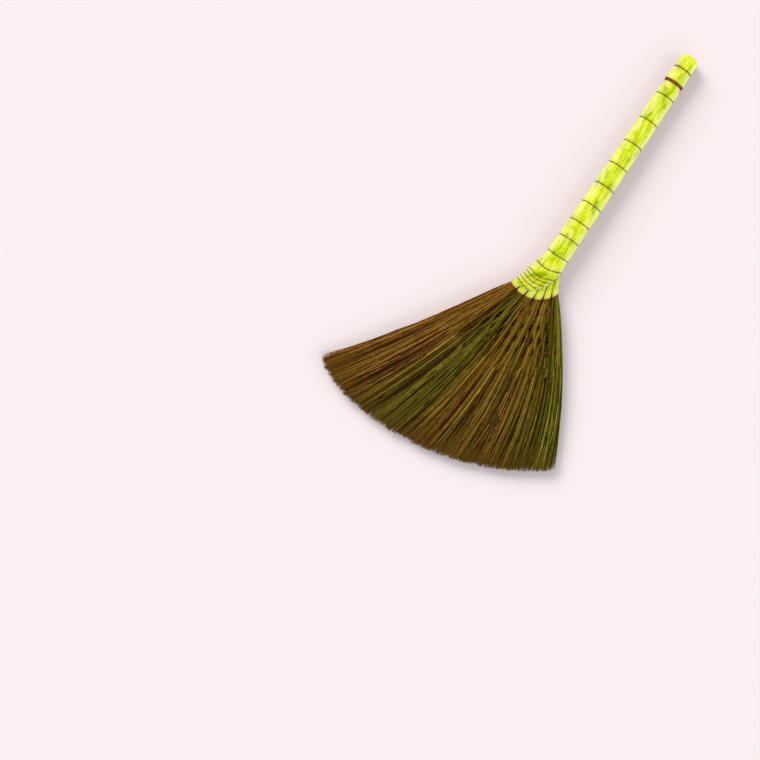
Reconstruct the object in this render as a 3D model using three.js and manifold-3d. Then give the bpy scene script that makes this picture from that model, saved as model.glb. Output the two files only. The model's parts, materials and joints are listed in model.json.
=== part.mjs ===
// A fan broom of dried grass reeds. Six bundles of reeds lie side by side. Their stalks, wrapped in plastic
// film and bound with twine, are the handle, and their tops spread into a flat fan held by rows of stitching.
// The broom lies on its back on a floor at Z = 0: handle along +Y, fan towards -Y, short side of the fan at +X.
import * as THREE from "three";
import { mergeVertices } from "three/addons/utils/BufferGeometryUtils.js";
import Module from "manifold-3d";

const wasm = await Module();
wasm.setup();

// Driving sizes, in millimetres and degrees
const BUNDLES = 6;
const CLEARANCE = 0.3; // between pieces that lie on each other

// Handle, a slim cone from the butt to the neck
const HANDLE_LENGTH = 400;
const BUTT_RADIUS = 16.5;
const GRIP_RADIUS = 20;
const BUTT_ROUND = 2.5; // rounding of the film over the butt's edge
const BUTT_CAP = 3; // film folded over the butt's end
const WRAP_WALL = 1; // film layers round the handle
const STALK_GAP = 0.4; // between two bundles in the handle

// Neck, where the bundles part. Radii and angles are taken from the fan's apex, angles from the handle's line
const NECK_TOP = 40; // from the apex up to where the handle starts to open
const NECK_HALF_DEPTH = 14;
const NECK_REACH = 0.385; // pull of a bundle's two ends on its curve: higher keeps the neck slim for longer
const TIE_RADIUS_SHORT = 61;
const TIE_RADIUS_LONG = 88;
const TIE_ANGLE_SHORT = 40.4;
const TIE_ANGLE_LONG = -31.3;
const TIE_HEIGHT = 19; // middle of the bundles above the floor at their ties
const SLEEVE_WALL = 0.8; // film layers round one bundle
const BUNDLE_HALF_DEPTH = 9.5;
const PINCH = 0.74; // width of a sleeve under its tie, as a share of its full width
const PINCH_LENGTH = 11; // over which a sleeve narrows to its tie
const TIE_SEAT = 3.6; // half the length of the narrow stretch that a tie sits on
const STALK_END = 4.2; // stalks past the middle of their tie

// Fan
const TIP_ANGLE_SHORT = 33;
const TIP_ANGLE_LONG = -33;
const TIP_RADIUS_SHORT = 376;
const TIP_RADIUS_MIDDLE = 408;
const TIP_RADIUS_LONG = 466;
const CORNER_LENGTH = 14; // how far the long side's corner is rounded back
const CORNER_POWER = 24; // higher keeps the rounding nearer to the corner
const FAN_BULGE = 1.5; // power of the sweep from tie angle to tip angle: higher bows the sides out more
const SEWN_LENGTH = 110; // stitched part, from the ties on
const SEWN_START_HALF_DEPTH = 8;
const SEWN_END_HALF_DEPTH = 10;
const SEWN_CROWN = 0.1; // share of that depth by which a bundle falls off to its sides

// Strands: each stands for a tuft of reeds, thin at the stitching, full towards the tip, pointed at the end
const TUFTS_ACROSS = 13; // in one bundle and one layer
const LAYERS = 4;
const ROOT_RADIUS = 0.95;
const BELLY_RADIUS = 2.6;
const BELLY_PLACE = 0.72; // share of the free length
const BELLY_LAYER_PITCH = 6.2;
const LAYER_SHIFT = 0.1; // of the tufts' spacing, one way and the other in turn
const RAGGED = 8; // tips longer or shorter by this
const TUFT_TWIST = 8; // tufts turned by up to this, one way or the other
const STRAND_FLAT = 0.5; // worn flat where the fan lies on the floor

// Twine and thread
const HANDLE_TWINE = 1.8;
const TIE_TWINE = 1.6;
const THREAD = 1.5;
const TURN_GAP = 1.1; // between neighbouring turns, along the middle of the neck
const TWINE_FLAT = 0.1 * HANDLE_TWINE; // pressed flat where the handle lies on the floor
const LAST_RING_SETBACK = 58; // last handle ring above the bundle ties
const WRAP_PAST_RING = 8; // wrap past the last ring
const RING_FIRST_GAP = 29;
const RING_GAP_GROWTH = 3.05; // each gap towards the butt is longer by this
const BUTT_BINDING_SETBACK = 59.5; // from the butt's end
const BUTT_BINDING_TURNS = 3;
const END_TURN_SETBACK = 28.5; // from the butt's end
const NECK_TIE_SETBACK = 13; // last neck tie above the bundle ties
const NECK_TIE_PITCH = 6.75;
const NECK_TIE_CLEARANCE = 0.65; // the bundles it rounds up swell between their sections
const NECK_TIE_FIRST_BUNDLE = [1, 1, 2, 3, 4]; // bundles before this one have left the neck
const BUNDLE_TIE_TURNS = 2;
const STITCH_ROWS = [26, 54, 78, 101]; // past the bundle ties

// Facets
const WRAP_SIDES = 24;
const BUNDLE_SAMPLES = 6; // points across a bundle's top, and as many across its bottom
const SEWN_COLUMNS = 2; // in one bundle
const EDGE_BLUNT = 0.97; // outer bundles stop short of the handle's sides, where they would have no depth
const BUNDLE_BLUNT = 0.9; // a bundle's sides keep some depth too
const FLARE_STEPS = 4; // from the handle to its last ring
const PARTING_STEPS = 3; // from the first neck tie to where the sleeves are fullest
const TUFT_CORNERS = 3;
const TWINE_CORNERS = 4;
const THREAD_CORNERS = 3;
const HANDLE_LOOP_CORNERS = 12; // corners of one turn round the handle
const HANDLE_LOW_CORNER = 7; // low on the short side: the twine runs from ring to ring there
const NECK_RUN_STEPS = 3;
const HANDLE_RUN_STEPS = 2;
const NECK_LOOP_CORNERS = 12;
const NECK_LOW_CORNER = 8; // on the underside: turns start and end there
const BUNDLE_LOOP_CORNERS = 7;
const BUNDLE_LOW_CORNER = 5;
const STITCH_LOOP_CORNERS = 8;
const STITCH_LOW_CORNER = 4;
const STITCH_STEP = 18;
const OWN_STRETCH = 5; // diameters of a tube that count as one stretch when it is measured against itself

const { lerp, degToRad, smoothstep, clamp, seededRandom } = THREE.MathUtils;

// Places along the reeds, in millimetres from the neck's start: negative in the handle, then neck, then fan
const NECK_LENGTH = NECK_TOP + (TIE_RADIUS_SHORT + TIE_RADIUS_LONG) / 2;
const LAST_RING = NECK_LENGTH - LAST_RING_SETBACK;
const WRAP_END = LAST_RING + WRAP_PAST_RING;
const SLEEVE_START = WRAP_END + 2 * CLEARANCE;
const SLEEVE_END = NECK_LENGTH + TIE_SEAT;
const SEWN_START = NECK_LENGTH + STALK_END + 2 * CLEARANCE;
const SEWN_END = NECK_LENGTH + SEWN_LENGTH;
const FIRST_NECK_TIE = NECK_LENGTH - NECK_TIE_SETBACK - (NECK_TIE_FIRST_BUNDLE.length - 1) * NECK_TIE_PITCH;
const BULGE = NECK_LENGTH - PINCH_LENGTH; // sleeves are at their fullest
const PARTED = FIRST_NECK_TIE - TIE_TWINE - TURN_GAP; // bundles are fully apart from here on
const HALF_PARTING = (TIE_TWINE + 2 * NECK_TIE_CLEARANCE + CLEARANCE) / 2; // room for a tie between two sleeves
const REST_HEIGHT = ((LAYERS - 1) / 2) * BELLY_LAYER_PITCH + BELLY_RADIUS / 2 - STRAND_FLAT;

// The flow of the reeds: across runs from 0 on the short side to BUNDLES on the long side
const sideOf = (across) => 1 - (2 * across) / BUNDLES;
const gripRadius = (along) => lerp(BUTT_RADIUS, GRIP_RADIUS, 1 + along / HANDLE_LENGTH);
const tieAngle = (across) => lerp(TIE_ANGLE_SHORT, TIE_ANGLE_LONG, across / BUNDLES);
const tipAngle = (across) => lerp(TIP_ANGLE_SHORT, TIP_ANGLE_LONG, across / BUNDLES);
const polar = (radius, angle) =>
  new THREE.Vector2(Math.sin(degToRad(angle)), -Math.cos(degToRad(angle))).multiplyScalar(radius);

function tieRadius(across) {
  return lerp(TIE_RADIUS_SHORT, TIE_RADIUS_LONG, Math.sin((Math.PI / 2) * (across / BUNDLES)));
}

// A parabola through the three tip radii, drawn back at the long side's corner
function reedLength(across) {
  const share = across / BUNDLES;
  const chord = lerp(TIP_RADIUS_SHORT, TIP_RADIUS_LONG, share);
  const sag = TIP_RADIUS_MIDDLE - (TIP_RADIUS_SHORT + TIP_RADIUS_LONG) / 2;
  const corner = CORNER_LENGTH * share ** CORNER_POWER;
  return chord + 4 * sag * share * (1 - share) - corner - tieRadius(across);
}

const bellyPlace = (across) => lerp(SEWN_LENGTH, reedLength(across), BELLY_PLACE);

function planPoint(across, along) {
  if (along <= 0) return new THREE.Vector2(gripRadius(along) * sideOf(across), NECK_TOP - along);
  const past = along - NECK_LENGTH;
  if (past >= 0) {
    const swept = (past / reedLength(across)) ** FAN_BULGE;
    return polar(tieRadius(across) + past, lerp(tieAngle(across), tipAngle(across), swept));
  }
  const start = new THREE.Vector2(GRIP_RADIUS * sideOf(across), NECK_TOP);
  const end = polar(tieRadius(across), tieAngle(across));
  const reach = start.distanceTo(end) * NECK_REACH;
  const control = start.clone().add(new THREE.Vector2(0, -reach));
  const control2 = end.clone().sub(polar(reach, tieAngle(across)));
  return new THREE.CubicBezierCurve(start, control, control2, end).getPoint(along / NECK_LENGTH);
}

// Half the depth of the round section that all bundles make together
function roundDepth(along) {
  if (along <= 0) return gripRadius(along);
  return lerp(GRIP_RADIUS, NECK_HALF_DEPTH, smoothstep(along, 0, NECK_LENGTH));
}

// Height of the reeds' middle above the floor
function midHeight(across, along) {
  const handleHeight = roundDepth(Math.min(along, 0)) + CLEARANCE + HANDLE_TWINE - TWINE_FLAT;
  if (along <= 0) return handleHeight;
  if (along <= NECK_LENGTH) return lerp(handleHeight, TIE_HEIGHT, smoothstep(along, 0, NECK_LENGTH));
  return lerp(TIE_HEIGHT, REST_HEIGHT, clamp((along - NECK_LENGTH) / bellyPlace(across), 0, 1));
}

function place(across, along, rise) {
  const plan = planPoint(across, along);
  return new THREE.Vector3(plan.x, plan.y, midHeight(across, along) + rise);
}

const spacing = (from, to, along) => planPoint(from, along).distanceTo(planPoint(to, along)) / (to - from);
const meanPitch = (along) => spacing(0, BUNDLES, along);

// A surface put together from rings of points, all listed the same way round
class Surface {
  points = [];
  triangles = [];

  add(ring) {
    const first = this.points.length;
    this.points.push(...ring);
    return ring.map((_, i) => first + i);
  }

  // Walls from one ring to the next; either may be a single point
  join(ring, next) {
    const sides = Math.max(ring.length, next.length);
    for (let i = 0; i < sides; i++) {
      const j = (i + 1) % sides;
      const [a, b] = [ring[i % ring.length], ring[j % ring.length]];
      const [d, c] = [next[i % next.length], next[j % next.length]];
      if (a === b) this.triangles.push(a, c, d);
      else if (c === d) this.triangles.push(a, b, c);
      else this.triangles.push(...this.shortSplit(a, b, c, d));
    }
  }

  shortSplit(a, b, c, d) {
    const { points } = this;
    const short = points[a].distanceTo(points[c]) < points[b].distanceTo(points[d]);
    return short ? [a, b, c, a, c, d] : [a, b, d, b, c, d];
  }

  // Zips a ring shut from its two ends, so that a long thin section's cap follows its curve
  cap(ring) {
    let low = 0;
    let high = ring.length - 1;
    while (high - low >= 2) {
      this.triangles.push(ring[low], ring[low + 1], ring[high]);
      low += 1;
      if (high - low >= 2) this.triangles.push(ring[low], ring[high - 1], ring[high]);
      high -= 1;
    }
  }

  // Faces point out, whichever way round the rings were listed
  geometry() {
    const { points, triangles } = this;
    let volume = 0;
    for (let i = 0; i < triangles.length; i += 3) {
      const [a, b, c] = [points[triangles[i]], points[triangles[i + 1]], points[triangles[i + 2]]];
      volume += a.dot(b.clone().cross(c));
    }
    const geometry = new THREE.BufferGeometry().setFromPoints(points);
    geometry.setIndex(volume < 0 ? triangles.toReversed() : triangles);
    return geometry;
  }
}

// A solid through a row of rings with capped ends, or a pipe's wall whose last ring meets its first
function loft(rings, closed = false) {
  const surface = new Surface();
  const added = rings.map((ring) => surface.add(ring));
  for (let i = 1; i < added.length; i++) surface.join(added[i - 1], added[i]);
  if (closed) {
    surface.join(added.at(-1), added[0]);
  } else {
    surface.cap(added[0].toReversed());
    surface.cap(added.at(-1));
  }
  return surface.geometry();
}

function solidOf(geometry) {
  const merged = mergeVertices(geometry);
  const vertProperties = new Float32Array(merged.getAttribute("position").array);
  const triVerts = new Uint32Array(merged.index.array);
  return new wasm.Manifold(new wasm.Mesh({ numProp: 3, vertProperties, triVerts }));
}

function geometryOf(solid) {
  const { vertProperties, triVerts } = solid.getMesh();
  const geometry = new THREE.BufferGeometry();
  geometry.setAttribute("position", new THREE.BufferAttribute(vertProperties, 3));
  geometry.setIndex(new THREE.BufferAttribute(triVerts, 1));
  return geometry;
}

// What lies under the floor is cut away
const FLOOR_BLOCK = 2 * (HANDLE_LENGTH + TIP_RADIUS_LONG);
const floorBlock = new THREE.BoxGeometry(FLOOR_BLOCK, FLOOR_BLOCK, FLOOR_BLOCK);
floorBlock.translate(0, 0, -FLOOR_BLOCK / 2);
floorBlock.deleteAttribute("normal");
floorBlock.deleteAttribute("uv");
const floorSolid = solidOf(floorBlock);
const cutAtFloor = (solid) => geometryOf(solid.subtract(floorSolid));

// Sections are lists of across and rise, so that every piece follows the same flow
function wrapSection(along, inset) {
  const halfWidth = (meanPitch(along) * BUNDLES) / 2;
  const section = [];
  for (let i = 0; i < WRAP_SIDES; i++) {
    const angle = (2 * Math.PI * i) / WRAP_SIDES;
    const across = (BUNDLES / 2) * (1 - Math.cos(angle) * (1 - inset / halfWidth));
    section.push({ across, rise: (roundDepth(along) - inset) * Math.sin(angle) });
  }
  return section;
}

function pinchAt(along) {
  const narrow = smoothstep(along, BULGE, NECK_LENGTH - TIE_SEAT);
  return lerp(1, PINCH, narrow);
}

// One bundle's section. margin is kept to its neighbours, rim to the handle's outer face, wall to its own depth
function bundleSection(bundle, along, { margin, rim, wall }) {
  const halfPitch = spacing(bundle, bundle + 1, along) / 2;
  const halfWidth = (meanPitch(along) * BUNDLES) / 2;
  const pinch = pinchAt(along);
  const parted = clamp((along - WRAP_END) / (BULGE - WRAP_END), 0, 1);
  const halfPoints = [];
  for (let i = 0; i < BUNDLE_SAMPLES; i++) {
    const u = -Math.cos((Math.PI * i) / (BUNDLE_SAMPLES - 1));
    const shrunk = 0.5 * u * (pinch - margin / halfPitch);
    const free = bundle + 0.5 + shrunk;
    const inward = lerp(EDGE_BLUNT, 1, parted) * (1 - rim / halfWidth);
    const across = BUNDLES / 2 + (free - BUNDLES / 2) * inward;
    const round = roundDepth(along) * Math.sqrt(1 - (EDGE_BLUNT * sideOf(free)) ** 2);
    const bulge = BUNDLE_HALF_DEPTH * Math.sqrt(1 - BUNDLE_BLUNT * u * u);
    halfPoints.push({ across, rise: pinch * lerp(round, bulge, parted) - wall });
  }
  const underside = halfPoints.map(({ across, rise }) => ({ across, rise: -rise }));
  return [...halfPoints, ...underside.reverse()];
}

const halfParting = (along) => lerp(STALK_GAP / 2, HALF_PARTING, smoothstep(along, WRAP_END, PARTED));
const sleeveSection = (bundle, along, inset) =>
  bundleSection(bundle, along, { margin: halfParting(along) + inset, rim: 0, wall: inset });

const ringOf = (section, along) => section.map(({ across, rise }) => place(across, along, rise));

const evenly = (from, to, steps) => Array.from({ length: steps + 1 }, (_, i) => lerp(from, to, i / steps));

// Sections of the flare between the handle and its last ring
const flarePlaces = evenly(0, LAST_RING, FLARE_STEPS);

// Stalks of one bundle: packed in the handle, then inside their own sleeve
function stalkBundle(bundle) {
  const inWrap = WRAP_WALL + CLEARANCE;
  const packed = { margin: STALK_GAP / 2, rim: inWrap, wall: inWrap };
  const packedPlaces = [BUTT_CAP + CLEARANCE - HANDLE_LENGTH, ...flarePlaces, WRAP_END];
  const packedRings = packedPlaces.map((along) => ringOf(bundleSection(bundle, along, packed), along));
  const sleevePlaces = [...sleeveStations(), NECK_LENGTH + STALK_END];
  const sleevedRings = sleevePlaces.map((along) =>
    ringOf(sleeveSection(bundle, along, SLEEVE_WALL + CLEARANCE), along),
  );
  return loft([...packedRings, ...sleevedRings]);
}

function sleeveStations() {
  return [SLEEVE_START, ...evenly(PARTED, BULGE, PARTING_STEPS), NECK_LENGTH - TIE_SEAT, SLEEVE_END];
}

function bundleSleeve(bundle) {
  const places = sleeveStations();
  const outer = places.map((along) => ringOf(sleeveSection(bundle, along, 0), along));
  const inner = places.map((along) => ringOf(sleeveSection(bundle, along, SLEEVE_WALL), along));
  return loft([...outer, ...inner.reverse()], true);
}

// Film cup round the stalks, flat over the butt's end and open at the neck
function handleWrap() {
  const buttEnd = -HANDLE_LENGTH;
  const outerPlaces = [buttEnd + BUTT_ROUND, ...flarePlaces, WRAP_END];
  const innerPlaces = [buttEnd + BUTT_CAP, ...outerPlaces.slice(1)];
  const endFace = ringOf(wrapSection(buttEnd, BUTT_ROUND), buttEnd);
  const outer = outerPlaces.map((along) => ringOf(wrapSection(along, 0), along));
  const inner = innerPlaces.map((along) => ringOf(wrapSection(along, WRAP_WALL), along));
  return loft([endFace, ...outer, ...inner.reverse()]);
}

// Corners of the loop that lies clear of a section: lines that touch it from evenly turned directions
function loopRound(section, along, diameter, directions, clearance = CLEARANCE) {
  const pitch = meanPitch(along);
  const turn = (2 * Math.PI) / directions;
  const reaches = [];
  for (let i = 0; i < directions; i++) {
    const ends = section.map((p) => p.across * pitch * Math.cos(turn * i) + p.rise * Math.sin(turn * i));
    reaches.push(Math.max(...ends) + clearance + diameter / 2);
  }
  return reaches.map((reach, i) => {
    const next = reaches[(i + 1) % directions];
    const width = reach * Math.sin(turn * (i + 1)) - next * Math.sin(turn * i);
    const rise = next * Math.cos(turn * i) - reach * Math.cos(turn * (i + 1));
    return { across: width / Math.sin(turn) / pitch, rise: rise / Math.sin(turn) };
  });
}

// Turns of twine from one corner of a loop back to it, moving along by pitch each turn
function turnsOf(loop, along, turns, pitch, startCorner) {
  const path = [];
  for (let i = 0; i <= loop.length * turns; i++) {
    const { across, rise } = loop[(startCorner + i) % loop.length];
    path.push({ across, rise, along: along + (pitch * i) / loop.length });
  }
  return path;
}

// Long straight runs are cut up, so that they follow the flow's curve
function inShortSteps(path, longest) {
  const fine = [path[0]];
  for (let i = 1; i < path.length; i++) {
    const [from, to] = [path[i - 1], path[i]];
    const length = place(from.across, from.along, from.rise).distanceTo(place(to.across, to.along, to.rise));
    const steps = Math.max(1, Math.round(length / longest));
    for (let s = 1; s <= steps; s++) {
      const share = s / steps;
      fine.push({
        across: lerp(from.across, to.across, share),
        rise: lerp(from.rise, to.rise, share),
        along: lerp(from.along, to.along, share),
      });
    }
  }
  return fine;
}

// A tube along a path. Each ring's first corner points away from the path's own middle line
function tubeAlong(path, diameter, sides) {
  const acrossValues = path.map((p) => p.across);
  const middle = (Math.min(...acrossValues) + Math.max(...acrossValues)) / 2;
  const points = path.map((p) => place(p.across, p.along, p.rise));
  const rings = points.map((point, i) => {
    const into = point.clone().sub(points[Math.max(i - 1, 0)]).normalize();
    const outOf = points[Math.min(i + 1, points.length - 1)].clone().sub(point).normalize();
    const tangent = into.add(outOf).normalize();
    const away = point.clone().sub(place(middle, path[i].along, 0));
    away.addScaledVector(tangent, -away.dot(tangent)).normalize();
    const sideways = tangent.clone().cross(away);
    const ring = [];
    for (let s = 0; s < sides; s++) {
      const angle = (2 * Math.PI * s) / sides;
      const corner = point.clone().addScaledVector(away, (diameter / 2) * Math.cos(angle));
      ring.push(corner.addScaledVector(sideways, (diameter / 2) * Math.sin(angle)));
    }
    return ring;
  });
  return loft(rings);
}

// Least gap between two stretches of one tube, on points a millimetre apart
function printLeastGap(name, path, diameter) {
  const points = inShortSteps(path, 1).map((p) => place(p.across, p.along, p.rise));
  const apart = Math.ceil(OWN_STRETCH * diameter);
  let least = Infinity;
  for (let i = 0; i < points.length; i++) {
    for (let j = i + apart; j < points.length; j++) {
      least = Math.min(least, points[i].distanceTo(points[j]));
    }
  }
  console.log(`${name}: least gap to itself ${(least - diameter).toFixed(2)} mm`);
}

// One length of twine that rings the handle at each stop and runs on to the next along one side
function handleTwine(stops) {
  const pitch = -(HANDLE_TWINE + TURN_GAP);
  return stops.flatMap(({ along, turns }, i) => {
    const end = along + turns * pitch;
    const ring = turnsOf(handleLoop(along, end), along, turns, pitch, HANDLE_LOW_CORNER);
    if (i === stops.length - 1) return ring;
    return [...ring, ...handleRun(end, stops[i + 1].along)];
  });
}

// A loop that clears the wrap from one place to another
function handleLoop(from, to) {
  const sections = [...wrapSection(from, 0), ...wrapSection(to, 0)];
  return loopRound(sections, from, HANDLE_TWINE, HANDLE_LOOP_CORNERS);
}

// Twine from one ring to the next: points are closer where the neck curves
function handleRun(from, to) {
  const places = evenly(from, to, to > 0 ? NECK_RUN_STEPS : HANDLE_RUN_STEPS);
  return places.slice(1, -1).map((along) => ({ ...handleLoop(along, along)[HANDLE_LOW_CORNER], along }));
}

function handleStops() {
  const stops = [];
  const highest = BUTT_BINDING_SETBACK - HANDLE_LENGTH + RING_FIRST_GAP / 2;
  let along = LAST_RING;
  let gap = RING_FIRST_GAP;
  while (along > highest) {
    stops.push({ along, turns: 1 });
    along -= gap;
    gap += RING_GAP_GROWTH;
  }
  return stops;
}

function buttStops() {
  const binding = { along: BUTT_BINDING_SETBACK - HANDLE_LENGTH, turns: BUTT_BINDING_TURNS };
  return [binding, { along: END_TURN_SETBACK - HANDLE_LENGTH, turns: 1 }];
}

// One turn round the sleeves that are still in the neck
function neckTie(row) {
  const along = FIRST_NECK_TIE + row * NECK_TIE_PITCH;
  const section = [];
  for (let bundle = NECK_TIE_FIRST_BUNDLE[row]; bundle < BUNDLES; bundle++) {
    section.push(...sleeveSection(bundle, along, 0));
  }
  const loop = loopRound(section, along, TIE_TWINE, NECK_LOOP_CORNERS, NECK_TIE_CLEARANCE);
  return turnsOf(loop, along, 1, TIE_TWINE + TURN_GAP, NECK_LOW_CORNER);
}

function bundleTie(bundle) {
  const pitch = TIE_TWINE + TURN_GAP;
  const along = NECK_LENGTH - (BUNDLE_TIE_TURNS * pitch) / 2;
  const section = sleeveSection(bundle, NECK_LENGTH, 0);
  const loop = loopRound(section, NECK_LENGTH, TIE_TWINE, BUNDLE_LOOP_CORNERS);
  return turnsOf(loop, along, BUNDLE_TIE_TURNS, pitch, BUNDLE_LOW_CORNER);
}

const sewnHalfDepth = (along) =>
  lerp(SEWN_START_HALF_DEPTH, SEWN_END_HALF_DEPTH, (along - SEWN_START) / (SEWN_END - SEWN_START));

// Thread over the fan, round its edge and back under it
function stitchRow(past) {
  const along = NECK_LENGTH + past;
  const depth = sewnHalfDepth(along);
  const corners = [0, BUNDLES].flatMap((across) => [{ across, rise: depth }, { across, rise: -depth }]);
  const loop = loopRound(corners, along, THREAD, STITCH_LOOP_CORNERS);
  return inShortSteps(turnsOf(loop, along, 1, THREAD + TURN_GAP, STITCH_LOW_CORNER), STITCH_STEP);
}

// Sections of the stitched part: it thickens a little away from the ties, and each bundle is crowned
function sewnSection(firstBundle, bundles, along) {
  const columns = bundles * SEWN_COLUMNS;
  const margin = CLEARANCE / 2 / meanPitch(along);
  const top = [];
  for (let i = 0; i <= columns; i++) {
    const across = lerp(firstBundle + margin, firstBundle + bundles - margin, i / columns);
    const u = (2 * (i % SEWN_COLUMNS)) / SEWN_COLUMNS - 1;
    top.push({ across, rise: sewnHalfDepth(along) * (1 - SEWN_CROWN * u * u) });
  }
  const underside = top.map(({ across, rise }) => ({ across, rise: -rise }));
  return [...top, ...underside.reverse()];
}

// A repeatable number from -1 to 1 for each tuft
const ragged = (tuftNumber) => 2 * seededRandom(tuftNumber) - 1;

// Corners round a point of the fan, the first one up or down, listed the way round that sections are
function tuftSection(across, along, rise, radius, firstAngle) {
  const pitch = meanPitch(along);
  const section = [];
  for (let i = 0; i < TUFT_CORNERS; i++) {
    const angle = degToRad(firstAngle - (360 * i) / TUFT_CORNERS);
    const sideways = (radius * Math.cos(angle)) / pitch;
    section.push({ across: across + sideways, rise: rise + radius * Math.sin(angle) });
  }
  return section;
}

// Tufts lie in layers: corner up, then corner down, shifted one way and the other in turn
function tuft(bundle, column, layer) {
  const odd = layer % 2 === 1;
  const across = bundle + (column + 0.5 + (odd ? LAYER_SHIFT : -LAYER_SHIFT)) / TUFTS_ACROSS;
  const number = (bundle * TUFTS_ACROSS + column) * LAYERS + layer;
  const firstAngle = (odd ? 270 : 90) + TUFT_TWIST * ragged(number);
  const level = layer - (LAYERS - 1) / 2;
  const rootRise = (level * 2 * SEWN_END_HALF_DEPTH) / LAYERS;
  const bellyRise = level * BELLY_LAYER_PITCH;
  const belly = NECK_LENGTH + bellyPlace(across);
  const tip = NECK_LENGTH + reedLength(across) + RAGGED * ragged(number);
  return {
    root: tuftSection(across, SEWN_END, rootRise, ROOT_RADIUS, firstAngle),
    belly: ringOf(tuftSection(across, belly, bellyRise, BELLY_RADIUS, firstAngle), belly),
    tip: place(across, tip, bellyRise),
  };
}

function tuftsOf(firstBundle, bundles) {
  const tufts = [];
  for (let bundle = firstBundle; bundle < firstBundle + bundles; bundle++) {
    for (let column = 0; column < TUFTS_ACROSS; column++) {
      for (let layer = 0; layer < LAYERS; layer++) {
        tufts.push(tuft(bundle, column, layer));
      }
    }
  }
  return tufts;
}

// Reed tops of neighbouring bundles: tufts that grow out of the end face of their stitched part
function reedTops(firstBundle, bundles) {
  const surface = new Surface();
  const places = [SEWN_START, (SEWN_START + SEWN_END) / 2, SEWN_END];
  const sections = places.map((along) => sewnSection(firstBundle, bundles, along));
  const [start, middle, end] = sections.map((section, i) => surface.add(ringOf(section, places[i])));
  surface.cap(start.toReversed());
  surface.join(start, middle);
  surface.join(middle, end);

  const tufts = tuftsOf(firstBundle, bundles);
  const roots = tufts.map(({ root }) => surface.add(ringOf(root, SEWN_END)));
  const flat = (section) =>
    section.map(({ across, rise }) => new THREE.Vector2(-across * meanPitch(SEWN_END), rise));
  const holes = tufts.map(({ root }) => flat(root).reverse());
  const faceCorners = [...end, ...roots.flatMap((root) => root.toReversed())];
  for (const face of THREE.ShapeUtils.triangulateShape(flat(sections.at(-1)), holes)) {
    surface.triangles.push(...face.map((corner) => faceCorners[corner]));
  }
  tufts.forEach(({ belly, tip }, i) => {
    const bellyRing = surface.add(belly);
    surface.join(roots[i], bellyRing);
    surface.join(bellyRing, surface.add([tip]));
  });
  return cutAtFloor(solidOf(surface.geometry()));
}

// Materials
const standard = (color, roughness) => new THREE.MeshStandardMaterial({ color, roughness, metalness: 0 });
const limeFilm = standard("#cfe312", 0.35);
const brownTwine = standard("#8a4a16", 0.8);
const orangeTwine = standard("#b4561e", 0.8);
const stitchThread = standard("#c8602a", 0.8);
const bareStalk = standard("#c4a95a", 0.75);
const brownReed = standard("#7d5620", 0.85);
const greenReed = standard("#60622a", 0.85);

// Assembly
const pieces = new THREE.Group();
function addPiece(name, geometry, material) {
  const mesh = new THREE.Mesh(geometry, material);
  mesh.name = name;
  pieces.add(mesh);
}

function addTwine(name, path, diameter, sides, material) {
  printLeastGap(name, path, diameter);
  addPiece(name, tubeAlong(path, diameter, sides), material);
}

function addFloorTwine(name, path) {
  printLeastGap(name, path, HANDLE_TWINE);
  const tube = tubeAlong(path, HANDLE_TWINE, TWINE_CORNERS);
  addPiece(name, cutAtFloor(solidOf(tube)), brownTwine);
}

addPiece("handle_wrap", handleWrap(), limeFilm);
addFloorTwine("handle_binding", handleTwine(handleStops()));
addFloorTwine("butt_binding", handleTwine(buttStops()));
for (let bundle = 0; bundle < BUNDLES; bundle++) {
  addPiece(`stalk_bundle_${bundle + 1}`, stalkBundle(bundle), bareStalk);
  addPiece(`bundle_sleeve_${bundle + 1}`, bundleSleeve(bundle), limeFilm);
  addTwine(`bundle_tie_${bundle + 1}`, bundleTie(bundle), TIE_TWINE, TWINE_CORNERS, orangeTwine);
}
NECK_TIE_FIRST_BUNDLE.forEach((_, row) => {
  addTwine(`neck_tie_${row + 1}`, neckTie(row), TIE_TWINE, TWINE_CORNERS, orangeTwine);
});
STITCH_ROWS.forEach((past, row) => {
  addTwine(`stitch_row_${row + 1}`, stitchRow(past), THREAD, THREAD_CORNERS, stitchThread);
});
addPiece("short_side_reeds", reedTops(0, 1), greenReed);
addPiece("middle_reeds", reedTops(1, 3), brownReed);
addPiece("green_reeds", reedTops(4, 1), greenReed);
addPiece("long_side_reeds", reedTops(5, 1), brownReed);

// The origin is under the middle of the broom's box, on the floor
const box = new THREE.Box3().setFromObject(pieces);
const boxMiddle = box.getCenter(new THREE.Vector3());
pieces.position.set(-boxMiddle.x, -boxMiddle.y, 0);

const broom = new THREE.Group();
broom.add(pieces);
export default broom;
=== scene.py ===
# %% [markdown]
# # A fan broom of dried reeds
# The broom lies on its back on a pale floor. Film and twine hold its stalks together as the handle, and its
# reed tops spread into a flat fan held by rows of stitching. Its construction is already there as solids at
# their real size. Every piece below follows the same lines of flow as the solids, so it lands where they are.

# %% Load the construction
import json
import math
from functools import partial

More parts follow.
